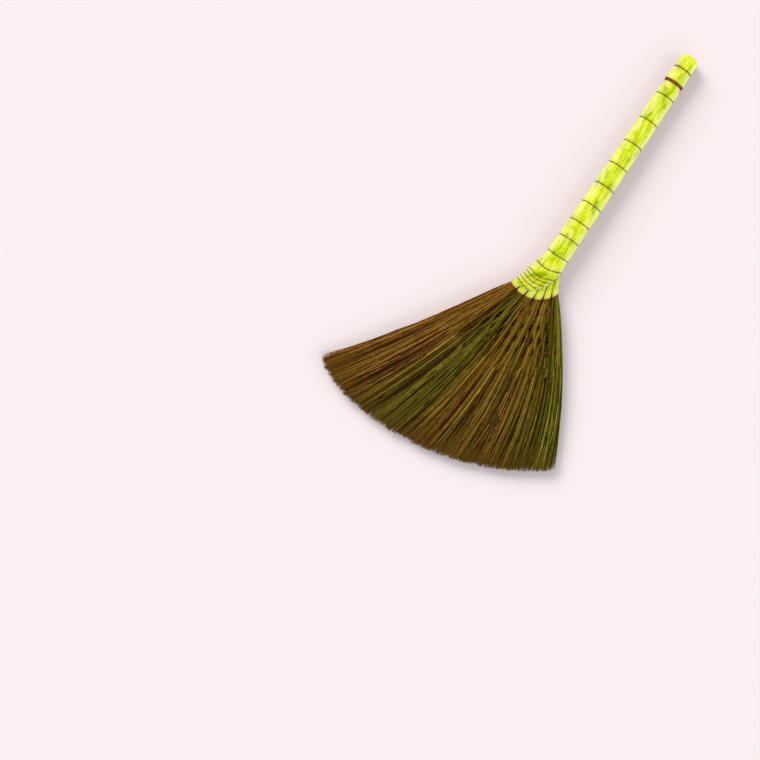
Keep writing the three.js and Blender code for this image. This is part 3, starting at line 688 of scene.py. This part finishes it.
sheet = (2 * np.pi * SLEEVE_HALF_DEPTH, SLEEVE_LIP - SLEEVE_START)
for bundle in range(BUNDLES):
    name = f"sleeve_film_{bundle + 1}"
    shape = partial(sleeve_shape, bundle)
    # its sides carry painted shade where they face a neighbour
    sleeve = wrapped_sheet(name, SLEEVE_GRID, sheet, shape, "painted_crease_shade", partial(crease_shade_at, bundle))
    keep(sleeve, sleeve_film, "lime_film", f"bundle_sleeve_{bundle + 1}")
print("sleeves:", BUNDLES)

# %% [markdown]
# ## Twine as a twisted curve
# A curve with a profile makes twine: the profile has two round lobes, one for each yarn, and every point of
# the curve is tilted a little more than the last, so the lobes wind round each other. The curve is then made
# a mesh. A plain round tube with a bump would look twisted only from afar.

# %% Curves with a profile
TWINE_SIDES = 10
LOBE_RADIUS = 0.39  # mean of the profile, in diameters
LOBE_SWING = 0.11


def profile_of(name, corners):
    """A closed outline that a curve can have as its section."""
    outline = bpy.data.curves.new(name, "CURVE")
    spline = outline.splines.new("POLY")
    spline.points.add(len(corners) - 1)
    for point, (x, y) in zip(spline.points, corners):
        point.co = (x, y, 0, 1)
    spline.use_cyclic_u = True
    return shown(name, outline)


def new_curve(name, profile):
    curve = bpy.data.curves.new(name, "CURVE")
    curve.dimensions = "3D"
    curve.bevel_mode = "OBJECT"
    curve.bevel_object = profile
    return curve


def add_line(curve, points, radius):
    """Adds a line to a curve, with a radius for each of its points."""
    spline = curve.splines.new("POLY")
    spline.points.add(len(points) - 1)
    spline.points.foreach_set("co", np.column_stack([points, np.ones(len(points))]).ravel())
    spline.points.foreach_set("radius", radius)
    return spline


def mesh_of_curve(name, curve):
    """The mesh that a curve object shows."""
    holder = shown(name + "_curve", curve)
    graph = bpy.context.evaluated_depsgraph_get()
    mesh = bpy.data.meshes.new_from_object(holder.evaluated_get(graph))
    bpy.data.objects.remove(holder)
    mesh.name = name
    return mesh


angles = 2 * np.pi * np.arange(TWINE_SIDES) / TWINE_SIDES
radii = LOBE_RADIUS + LOBE_SWING * np.cos(2 * angles)
twine_profile = profile_of("twine_profile", np.column_stack([radii * np.cos(angles), radii * np.sin(angles)]))
print("twine profile:", TWINE_SIDES, "corners")

# %% Twine along a path
TWINE_LAY = 6 * MM  # one full twist
TWINE_STEP = 0.9 * MM


def even_steps(path, step):
    """The same path with points a step apart, and its length."""
    lengths = np.concatenate([[0], np.cumsum(np.linalg.norm(np.diff(path, axis=0), axis=1))])
    places = np.linspace(0, lengths[-1], max(2, round(lengths[-1] / step)))
    return np.stack([np.interp(places, lengths, path[:, i]) for i in range(3)], axis=1), lengths[-1]


def twine_along(name, path, diameter):
    points, length = even_steps(path, TWINE_STEP)
    curve = new_curve(name, twine_profile)
    curve.use_fill_caps = True
    line = add_line(curve, points, np.full(len(points), diameter))
    line.points.foreach_set("tilt", np.linspace(0, 2 * np.pi * length / TWINE_LAY, len(points)))
    return piece_from(name, mesh_of_curve(name, curve))


print("twine has one twist in", TWINE_LAY / MM, "mm")

# %% [markdown]
# ## Twine on the handle
# One length of twine rings the handle, runs along its underside to the next ring and rings it again. Near the
# butt a heavier binding takes three turns side by side, and a single turn holds the film at the end. Separate
# rings would be simpler, but the real twine isn't cut between them.

# %% Handle bindings
HANDLE_TWINE = 2 * MM
BUTT_TWINE = 2.4 * MM
RING_PITCH = 0.6 * MM
BUTT_PITCH = 1.9 * MM
SUNK = 0.35  # of the twine's diameter
RUN_ANGLE = np.radians(-45)  # low on the short side
TURN_POINTS = 120
RUN_POINTS = 40


def twine_point(angle, along, diameter):
    """A point of twine wound round the film and sunk into it."""
    return film_point(angle, along + slant(angle, along), (0.5 - SUNK) * diameter)


def wound(stops, pitch, diameter):
    """A path that takes its turns at each stop and runs on to the next."""
    angles = []
    places = []
    for i, (along, turns) in enumerate(stops):
        count = TURN_POINTS * turns
        angles.append(RUN_ANGLE + np.linspace(0, 2 * np.pi * turns, count))
        places.append(along - np.linspace(0, pitch * turns, count))
        if i + 1 < len(stops):
            angles.append(np.full(RUN_POINTS, RUN_ANGLE))
            places.append(np.linspace(places[-1][-1], stops[i + 1][0], RUN_POINTS + 2)[1:-1])
    return twine_point(np.concatenate(angles), np.concatenate(places), diameter)


ring_path = wound([(at, 1) for at in rings], RING_PITCH, HANDLE_TWINE)
handle_rings = twine_along("handle_rings", ring_path, HANDLE_TWINE)
keep(handle_rings, brown_twine, "brown_twine", "handle_binding")
butt_path = wound([(BUTT_BINDING, BUTT_TURNS), (END_TURN, 1)], BUTT_PITCH, BUTT_TWINE)
butt_rings = twine_along("butt_rings", butt_path, BUTT_TWINE)
keep(butt_rings, butt_twine, "brown_twine", "butt_binding")
print("handle twine:", len(handle_rings.data.polygons), "faces")

# %% [markdown]
# ## Ties on the neck and the bundles
# Five single turns hold the neck, each round fewer bundles. Every bundle ends in a tie of three tight turns,
# which bites into its sleeve. Rings could be placed by hand, but these paths ask the film and the sleeves for
# their surface, so the twine sinks in evenly all the way round.

# %% Neck and bundle ties
TIE_TWINE = 1.6 * MM
TIE_TURNS = 3
TIE_PACK = 0.85  # from one turn to the next, in diameters
TIE_LIFT = 0.3  # off the sleeve, in diameters

for row, along in enumerate(NECK_TIES):
    turn = np.linspace(0, 1, 2 * TURN_POINTS)
    path = twine_point(turned(turn), along + (turn - 0.5) * TIE_TWINE, TIE_TWINE)
    tie = twine_along(f"neck_ring_{row + 1}", path, TIE_TWINE)
    keep(tie, orange_twine, "orange_twine", f"neck_tie_{row + 1}")

for bundle in range(BUNDLES):
    turn = np.linspace(0, TIE_TURNS, TIE_TURNS * TURN_POINTS)
    along = TIE_PLACE + (turn - TIE_TURNS / 2) * TIE_TWINE * TIE_PACK
    path = sleeve_point(bundle, turned(turn), along, TIE_LIFT * TIE_TWINE)
    tie = twine_along(f"bundle_choke_{bundle + 1}", path, TIE_TWINE)
    keep(tie, tie_twine, "orange_twine", f"bundle_tie_{bundle + 1}")
print("neck ties:", len(NECK_TIES), "bundle ties:", BUNDLES)

# %% [markdown]
# ## How stitching gathers the reeds
# Four rows of stitching cross the fan. Each draws the reeds into clumps, and since every row has more clumps
# than the one before, a clump of one row feeds two of the next, which gives the quilted look. Simulating
# thread and reeds would be far too heavy, so a function says how far a row pulls a reed sideways and presses
# it down.

# %% Clumps
STITCH_ROWS = np.array([26, 54, 78, 101]) * MM
CLUMPS = np.array([9, 11, 13, 15])
ROW_DRAW = np.array([0.55, 0.85, 1, 1])
GATHER = 0.34  # of half a clump
GATHER_LENGTH = 6.5 * MM
EDGE_DROP = 0.5  # of a clump's side below its crown
ROW_PRESS = 0.18
QUILT_SHORT_SIDE = (0.5, 1.2)  # the quilting fades out at both sides of the fan
QUILT_LONG_SIDE = (4.4, 5.2)
QUILT_LEAST = 0.35
LOOSE_HEIGHT = (0.3, 0.7)  # deeper reeds are hardly gathered


def quilted(across):
    """How strongly the stitching shows, 1 in the middle of the fan."""
    return lerp(QUILT_LEAST, 1, smooth(across, *QUILT_SHORT_SIDE) - smooth(across, *QUILT_LONG_SIDE))


def in_clump(across, clumps):
    """-1 at one side of a clump, 0 in its middle, 1 at its other side."""
    clump = across / BUNDLES * clumps
    return 2 * (clump - np.floor(clump)) - 1


def gathered(across, past, height):
    """Across and height of reeds after the rows have drawn them together. Height is 1 at the top face."""
    pull = np.zeros_like(across)
    drop = np.zeros_like(across)
    held = smooth(np.abs(height), *LOOSE_HEIGHT)
    for row, clumps, draw in zip(STITCH_ROWS, CLUMPS, ROW_DRAW):
        near = draw * quilted(across) * bell(past - row, GATHER_LENGTH)
        from_middle = in_clump(across, clumps)
        pull -= held * near * GATHER * from_middle * BUNDLES / clumps / 2
        drop += near * (ROW_PRESS + EDGE_DROP * from_middle**2)
    return across + pull, height * (1 - drop)


print("clumps in each row:", CLUMPS)

# %% Painted shade in the slits, and thickness of the fan
NOTCH_SHARP = 6
NOTCH_LENGTH = 9 * MM
NOTCH_SHADES = [0.35, 0.7, 0.85, 0.8]  # painted shade in the slits, row by row
DEPTH_PLACES = [0, 0.08, 0.3, 0.7, 1]  # from the ties to the tips
FAN_DEPTHS = np.array([6.4, 8.2, 9.2, 9.2, 7.6]) * MM


def painted_slit_shade(across, past):
    """How much painted shade darkens the slit that the stitching leaves between two clumps."""
    shade = np.zeros(np.broadcast(across, past).shape)
    for row, clumps, dark in zip(STITCH_ROWS, CLUMPS, NOTCH_SHADES):
        side = np.abs(in_clump(across, clumps)) ** NOTCH_SHARP
        shade = np.maximum(shade, dark * side * bell(past - row, NOTCH_LENGTH))
    return shade * quilted(across)


def fan_depth(across, past):
    """Half the thickness of the fan."""
    return np.interp(past / reed_length(across), DEPTH_PLACES, FAN_DEPTHS)


print("the fan is", round(2 * FAN_DEPTHS.max() / MM, 1), "mm thick")

# %% [markdown]
# ## The reeds themselves
# A reed is a curve with a three-sided profile and a radius that tapers. Stems come out of a tie, run under
# the stitching and end in the free part of the fan. Fine tops start under the last rows and reach the ragged
# edge. Thousands of curves become one mesh per bundle. A hair system would be quicker to make, but it isn't a
# mesh.

# %% Profile and path of a reed
REED_CORNERS = 3
REED_INSIDE = 0.02  # kept free at the sides of the fan, in bundles
TIE_INSIDE = 0.1  # and at the ties
TIE_OPENS = (-4 * MM, 24 * MM)  # past the tie, where a bundle spreads
CORE_SPREAD = 1.15  # width of a bundle's inside at the tie
BUNDLE_CROWN = 0.75  # 1 is a bundle that is fully round at its tie
CROWN_FADES = (10 * MM, 60 * MM)  # past the tie, where the bundle gets flat

angles = 2 * np.pi * np.arange(REED_CORNERS) / REED_CORNERS
reed_profile = profile_of("reed_profile", np.column_stack([np.cos(angles), np.sin(angles)]))


def reed_points(bundle, share, past, height, inside=REED_INSIDE):
    """Points of reeds at a share of their bundle: drawn in at the tie, gathered by the stitching."""
    held = smooth(np.abs(height), *LOOSE_HEIGHT)
    opened = smooth(past, *TIE_OPENS)
    drawn_in = lerp(lerp(CORE_SPREAD, TIE_PINCH, held), 1, opened)
    across = bundle + 0.5 + (share - 0.5) * drawn_in
    crown = np.sqrt(1 - BUNDLE_CROWN * np.clip(2 * share - 1, -1, 1) ** 2)
    rounded = lerp(crown, 1, smooth(past, *CROWN_FADES))
    across, height = gathered(across, past, height * rounded)
    inside = lerp(TIE_INSIDE, inside, opened)
    across = inside + np.abs(across - inside)  # a reed that would leave the fan is turned back into it
    across = BUNDLES - inside - np.abs(BUNDLES - inside - across)
    return place(across, NECK_LENGTH + past, height * fan_depth(across, past))


print("a bundle's tie is", round(TIE_PINCH * pitch_at(0.5, NECK_LENGTH) / MM, 1), "mm wide")

# %% [markdown]
# ## Bands of colour
# Seen from above, the bundles blend from olive on the short side through browns to olive and brown again on
# the long side. A picture laid over the fan would smear down the sides of the reeds, so a short list gives
# the green share and the paleness across it, and every reed differs a little from that.

# %% Tone of a band
BAND_PLACES = [0.3, 0.8, 1.3, 1.8, 2.3, 2.8, 3.3, 3.8, 4.3, 4.8, 5.2, 6]
BAND_GREENS = [1.0, 0.8, 0.42, 0.26, 0.44, 0.32, 0.24, 0.66, 0.85, 0.42, 0.12, 0.04]
# the paleness near 6 is partly the reeds' own tone, partly painted light lifting the shade on the long edge
BAND_PALES = [0.52, 0.25, 0.39, 0.45, 0.45, 0.47, 0.43, 0.47, 0.43, 0.36, 0.53, 0.6]
DEEP_SHADE = 0.6  # painted shade: how much darker reeds are painted deep inside
SIDE_WIDTH = 0.25  # in bundles


def band_tone(across):
    """Green share and paleness of the fan at a place across it."""
    return np.interp(across, BAND_PLACES, BAND_GREENS), np.interp(across, BAND_PLACES, BAND_PALES)


def at_side(across):
    """1 at the sides of the fan, where its inside shows and no painted deep shade is laid, 0 elsewhere."""
    return 1 - smooth(np.minimum(across, BUNDLES - across), 0, SIDE_WIDTH)


print("green share of each bundle's middle:", np.round(band_tone(np.arange(BUNDLES) + 0.5)[0], 2))

# %% [markdown]
# ## Stems
# Stems are the thick lower part of the reeds. They lie all through a bundle, most of them near its two faces,
# and end here and there in the free part. They could be scattered by hand, but random numbers from a fixed
# seed give the same natural disorder in every run.

# %% Stems of a bundle
STEMS = 540
CORE_STEMS = 150  # of them, deep inside, where no stitch draws them
CORE_HEIGHT = 0.3
STEM_SHARES = (0.01, 0.99)  # of their bundle's width
STEM_FACE = 0.2  # above 0, more of them lie on the top face
STEM_HEIGHTS = (2.4, 0.9)  # of a beta curve, crowded towards the faces
STEM_ENDS = (0.2, 0.85)  # of the free length
STEM_RADIUS = np.array([0.8, 0.3]) * MM  # at the tie and at its end
STEM_THINS = 0.6 * SEWN_LENGTH  # from here on
STEM_SINKS = 0.75  # of its height, at its end
STEM_STOPS = np.array([-24, -3, 6, 16, 26, 36, 45, 54, 62, 70, 78, 86, 94, 101, 110, 126, 148]) * MM
STEM_TAIL = np.array([0.33, 0.67, 1.0])
STEM_SHIFT = 0.12  # greener and paler than their band by this
STEM_VARIES = (0.14, 0.24)  # in green share and in paleness


def stems_of(bundle, rng):
    """Paths, radii, green share, paleness with painted shade and nearness to the tip of a bundle's stems."""
    size = (STEMS, 1)
    share = rng.uniform(*STEM_SHARES, size)
    height = np.sign(rng.normal(STEM_FACE, 1, size)) * rng.beta(*STEM_HEIGHTS, size)
    height[:CORE_STEMS] *= CORE_HEIGHT
    end = lerp(STEM_STOPS[-1], reed_length(bundle + share), rng.uniform(*STEM_ENDS, size))
    past = np.hstack([np.tile(STEM_STOPS, size), lerp(STEM_STOPS[-1], end, STEM_TAIL)])
    radius = lerp(*STEM_RADIUS, smooth(past, STEM_THINS, end))
    sinking = lerp(1, STEM_SINKS, smooth(past, SEWN_LENGTH, end))
    points = reed_points(bundle, share, past, height * sinking)
    green, pale = band_tone(bundle + share)
    green = green + STEM_SHIFT + rng.normal(0, STEM_VARIES[0], size)
    pale = pale + STEM_SHIFT + rng.normal(0, STEM_VARIES[1], size)
    # painted shade: stems deep inside the fan are darkened, except at its sides
    pale = pale - DEEP_SHADE * (1 - np.abs(height)) * (1 - at_side(bundle + share))
    green = np.repeat(green, past.shape[1], axis=1)
    # painted shade in the stitching's slits darkens the stems
    return points, radius, green, pale - painted_slit_shade(bundle + share, past), 0 * past


print("stems in a bundle:", STEMS, "deep inside:", CORE_STEMS)

# %% [markdown]
# ## Tresses of fine tops
# The fine tops cling together. A few strands make a lock with its own tint, and a few locks make a tress,
# which leans its own way and leaves a dark parting beside it. A few stray strands lie across these partings.
# At the edge the strands end at different lengths, so it frays. Strands placed one by one would look like a
# lawn.

# %% Tresses and locks
LAYERS = (  # tresses, lowest and highest level, painted shade
    (8, 0.66, 0.95, 0),
    (3, -0.4, 0.4, DEEP_SHADE),
    (7, -0.95, -0.66, 0),
)
LOCKS = 4  # in a tress
STRANDS = 38  # in a lock
TRESS_WIDTHS = (0.4, 1.7)
TRESS_LEAN = 0.16  # of a tress's width
TRESS_RAGGED = 0.6 * MM
TRESS_VARIES = (0.04, 0.07)  # in paleness and in green share
LOCK_SHIFT = 0.2  # of a lock's share of its tress
LOCK_RAGGED = 0.9 * MM
LOCK_CONTRAST = 0.07  # every other lock is paler by this, the rest darker
LOCK_VARIES = 0.07
RAGGED, TONE, DYE = 4, 5, 6  # rows of a tress's table


def tresses_of(rng):
    """Width, middle, level, lean, length, tone, dye and painted shade of every strand's tress and its lock's
    place in the tress: nine tables with one row for each strand."""
    layers = []
    for tresses, low, high, shade in LAYERS:
        width = rng.uniform(*TRESS_WIDTHS, tresses)
        width = width / width.sum()
        level = rng.uniform(low, high, tresses)
        lean = rng.normal(0, TRESS_LEAN, tresses) * width
        ragged = rng.normal(0, TRESS_RAGGED, tresses)
        tone = rng.normal(0, TRESS_VARIES[0], tresses)
        dye = rng.normal(0, TRESS_VARIES[1], tresses)
        shades = np.full(tresses, shade)
        tress = np.stack([width, np.cumsum(width) - width / 2, level, lean, ragged, tone, dye, shades])
        tress = np.repeat(tress, LOCKS, axis=1)
        locks = tress.shape[1]
        lock_number = np.tile(np.arange(LOCKS), tresses)
        lock_at = (lock_number + 0.5 + rng.normal(0, LOCK_SHIFT, locks)) / LOCKS - 0.5
        tress[RAGGED] += rng.normal(0, LOCK_RAGGED, locks)
        tress[TONE] += LOCK_CONTRAST * (-1) ** np.arange(locks) + rng.normal(0, LOCK_VARIES, locks)
        tress[DYE] += rng.normal(0, LOCK_VARIES, locks)
        layers.append(np.repeat(np.vstack([tress, lock_at]), STRANDS, axis=1))
    return np.concatenate(layers, axis=1)[..., None]


print("fine tops in a bundle:", sum(layer[0] for layer in LAYERS) * LOCKS * STRANDS)

# %% Strands in their tress
TOP_STOPS = np.array([0, 0.1, 0.23, 0.37, 0.52, 0.67, 0.82, 0.93, 1.0])
LOCK_SPREAD = 0.42  # of a lock's share of its tress
TIP_SPREAD = 1.5 * LOCK_SPREAD
TRESS_REACH = 0.6  # of a tress's width, furthest from its middle
STRAY = 0.035  # share of strands that lie on top, across the others
STRAY_LEAN = 0.45  # of a tress's width
STRAY_TONES = (-0.32, 0.36)
TOP_VARIES = (0.1, 0.27)  # in green share and in paleness
FRINGE_WIDTH = 0.14  # in bundles


def strands_in(lock_at, rng):
    """Which strands are strays, and where each one lies in its tress from start to tip."""
    size = lock_at.shape
    start_at = lock_at + rng.normal(0, LOCK_SPREAD, size) / LOCKS / 2
    end_at = lock_at + rng.normal(0, TIP_SPREAD, size) / LOCKS / 2
    stray = rng.random(size) < STRAY
    end_at = end_at + stray * rng.normal(0, STRAY_LEAN, size)
    reach = TRESS_REACH + stray
    return stray, np.clip(lerp(start_at, end_at, TOP_STOPS), -reach, reach)


def top_tints(lock, tone, dye, shade, stray, rng):
    """Green share, and paleness with painted shade deep inside, of every strand. Lock is its lock's place
    across the fan.
    """
    green, pale = band_tone(lock)
    green = green + dye + rng.normal(0, TOP_VARIES[0], lock.shape)
    # the shade term is painted shade deep inside, left off at the fan's sides
    pale = pale + tone - shade * (1 - at_side(lock)) + rng.normal(0, TOP_VARIES[1], lock.shape)
    return green, pale + stray * rng.choice(STRAY_TONES, lock.shape)


def fringe_side(across):
    """1 at the long side of the fan, -1 at the short side, 0 elsewhere."""
    return smooth(across, BUNDLES - FRINGE_WIDTH, BUNDLES) - smooth(-across, -FRINGE_WIDTH, 0)


print("strays among 100 strands:", 100 * STRAY)

# %% Paths of the fine tops
PARTING = 0.22  # of a tress's width
PARTING_OPENS = (0, 0.35)  # of a strand's length
PARTING_CLOSES = (0.7, 1)
TRESS_ROUND = 0.2
LOCK_THICKNESS = 0.1
TOP_LEVEL = 0.5  # tresses below this are shorter
UNDER_LOSS = 4 * MM
TIP_LOSS = 5 * MM
TIP_LEAD = 3 * MM
LONGEST_LOSS = 60 * MM
TOP_STARTS = (70 * MM, 112 * MM)
START_HEIGHT = 0.3  # of its level, which a strand reaches by RISE_END
RISE_END = 0.25
BEND = 0.9 * MM
FRINGE = 0.12  # how far the outermost strands may stand out, in bundles
STRAY_OUT = 0.06  # and the strays
TOP_RADIUS = np.array([0.5, 0.55, 0.15]) * MM
TOP_RADIUS_PLACES = [0, 0.6, 1]  # of a strand's length
TOP_THICKNESS = (0.75, 1.25)
STRAY_THICKNESS = 1.35
BLEACHED_LENGTH = 40 * MM


def tops_of(bundle, rng):
    """The same five tables for a bundle's fine tops."""
    width, middle, level, lean, ragged, tone, dye, shade, lock_at = tresses_of(rng)
    size = width.shape
    t = TOP_STOPS
    stray, in_tress = strands_in(lock_at, rng)
    parted = 1 - PARTING * smooth(t, *PARTING_OPENS) * (1 - smooth(t, *PARTING_CLOSES))
    share = middle + width * in_tress * parted + lean * np.sin(np.pi * t)
    rounded = level * (1 - TRESS_ROUND * (2 * in_tress) ** 2)
    height = np.clip(rounded + rng.normal(0, LOCK_THICKNESS, size), -1, 1)
    height = np.where(stray, np.sign(level), height)

    lock = bundle + middle + width * lock_at
    length = reed_length(np.clip(lock, 0, BUNDLES)) + ragged - UNDER_LOSS * (level < TOP_LEVEL)
    tip_at = length - np.minimum(rng.exponential(TIP_LOSS, size) - TIP_LEAD, LONGEST_LOSS)
    past = lerp(rng.uniform(*TOP_STARTS, size), tip_at, t)
    bow = rng.normal(0, BEND, size) * np.sin(np.pi * t)
    bend = bow / pitch_at(bundle + 0.5, NECK_LENGTH + past)
    rising = lerp(START_HEIGHT, 1, smooth(t, 0, RISE_END))
    outward = FRINGE * rng.random(size) ** 2 * t**2 * fringe_side(bundle + middle + width * in_tress)
    inside = REED_INSIDE - np.abs(outward) - STRAY_OUT * stray * rng.random(size) * t
    points = reed_points(bundle, share + bend + outward, past, height * rising, inside)
    radius = np.interp(t, TOP_RADIUS_PLACES, TOP_RADIUS) * rng.uniform(*TOP_THICKNESS, size)
    radius = radius * np.where(stray, STRAY_THICKNESS, 1)

    green, pale = top_tints(lock, tone, dye, shade, stray, rng)
    green = np.repeat(green, len(t), axis=1)
    # painted shade in the stitching's slits
    pale = pale - painted_slit_shade(bundle + share, past)
    return points, radius, green, pale, smooth(past, length - BLEACHED_LENGTH, length)


print("tops start in mm past the tie:", np.array(TOP_STARTS) / MM)

# %% Reeds of all bundles
SEED = 100
MIDDLE = ("middle_reeds", "brown_reed")
REED_NODES = [("short_side_reeds", "green_reed"), MIDDLE, MIDDLE, MIDDLE]
REED_NODES += [("green_reeds", "green_reed"), ("long_side_reeds", "brown_reed")]


def reeds_of(bundle):
    rng = np.random.default_rng(SEED + bundle)
    curve = new_curve(f"reeds_{bundle + 1}", reed_profile)
    looks = {"green": [], "pale": [], "tip": []}
    for points, radius, *tables in (stems_of(bundle, rng), tops_of(bundle, rng)):
        for line, line_radius in zip(points, radius):
            add_line(curve, line, line_radius)
        for name, table in zip(looks, tables):
            looks[name].append(np.repeat(np.clip(table, 0, 1).ravel(), REED_CORNERS))
    mesh = mesh_of_curve(curve.name, curve)
    for name, tables in looks.items():
        attribute = mesh.attributes.new(name, "FLOAT", "POINT")
        attribute.data.foreach_set("value", np.concatenate(tables).astype(np.float32))
    return piece_from(mesh.name, mesh)


for bundle, (node, slot) in enumerate(REED_NODES):
    reeds = reeds_of(bundle)
    keep(reeds, reed_finish, slot, node)
    print(reeds.name, len(reeds.data.vertices), "corners", len(reeds.data.polygons), "faces")

# %% [markdown]
# ## Stitching
# The thread lies over each clump and dips between two clumps, on the top face and on the underside. It could
# be shrink-wrapped onto the reeds, but it would catch on single strands. Its height comes from the same
# function that gathers the reeds, so it always rests on them.

# %% Stitch rows
THREAD = 1 * MM
THREAD_HEIGHT = 1.02  # of the fan's face
STITCH_POINTS = 600
over = np.linspace(REED_INSIDE, BUNDLES - REED_INSIDE, STITCH_POINTS)
across = np.concatenate([over, over[::-1]])
face = np.repeat([1, -1], STITCH_POINTS)
for row, past in enumerate(STITCH_ROWS):
    drift = past + np.linspace(-1, 1, 2 * STITCH_POINTS) * THREAD
    height = gathered(across, np.full_like(across, past), THREAD_HEIGHT * face)[1]
    path = place(across, NECK_LENGTH + drift, height * fan_depth(across, past))
    thread = twine_along(f"stitching_{row + 1}", path, THREAD)
    keep(thread, stitch_thread, "stitch_thread", f"stitch_row_{row + 1}")
print("stitch rows:", len(STITCH_ROWS))

bpy.data.objects.remove(twine_profile)
bpy.data.objects.remove(reed_profile)

# %% [markdown]
# ## Floor, light and camera
# The broom lies on a very pale, faintly pink floor. One broad lamp at the upper left of the picture throws
# soft shadows to the lower right. A broader one faces it and throws none, and a pale surround fills the rest.
# A picture of a studio could light it too, but three plain lights are easier to match. The camera looks
# straight down through a long lens, turned so that the handle leans to the upper right.

# %% Floor
FLOOR_HALF = 6  # metres
# Matt painted board: it takes soft shadows and shows no reflections
board = {"Base Color": srgb("#fff5f6"), "Roughness": 0.9, "Specular IOR Level": 0.1}
floor_finish, tree, shader = new_finish("pale_floor", board)
bm = bmesh.new()
bmesh.ops.create_grid(bm, x_segments=1, y_segments=1, size=FLOOR_HALF)
floor_mesh = bpy.data.meshes.new("floor")
bm.to_mesh(floor_mesh)
bm.free()
floor = piece_from("floor", floor_mesh)
floor_mesh.materials.append(floor_finish)
print("floor:", 2 * FLOOR_HALF, "m wide")

# %% Light
CAMERA_TURN = math.radians(33.97)
SURROUND = {"Color": srgb("#f2f1fa"), "Strength": 0.448}
LAMPS = (  # name, strength, colour, then size, tilt and turn from the camera in degrees, and shadows
    ("key", 2.12, (1, 0.955, 0.89), 36, 56, -147, True),
    ("fill", 1.8, (1, 1, 1), 80, 72, 45, False),
)

world = bpy.data.worlds.new("pale_surround")
bpy.context.scene.world = world
world.use_nodes = True
for socket, value in SURROUND.items():
    world.node_tree.nodes["Background"].inputs[socket].default_value = value
for name, strength, colour, size, tilt, turn, shadows in LAMPS:
    light = bpy.data.lights.new(name, "SUN")
    light.energy = strength
    light.color = colour
    light.angle = math.radians(size)
    light.use_shadow = shadows
    lamp = shown(name, light)
    lamp.rotation_euler = (math.radians(tilt), 0, CAMERA_TURN + math.radians(turn))
    print("lamp:", name, "strength", strength)

# %% Camera
PHOTO_WIDTH = 1.368  # metres of floor across the picture
LENS = 100
SENSOR = 36
LOOK_AT = (-0.1186, -0.3623, 0.02)

camera_data = bpy.data.cameras.new("camera")
camera_data.lens = LENS
camera_data.sensor_width = SENSOR
camera = shown("camera", camera_data)
camera.location = (LOOK_AT[0], LOOK_AT[1], LOOK_AT[2] + PHOTO_WIDTH * LENS / SENSOR)
camera.rotation_euler = (0, 0, CAMERA_TURN)
bpy.context.scene.camera = camera
bpy.context.scene.view_settings.view_transform = "Standard"
print("camera height:", round(camera.location.z, 3), "m")
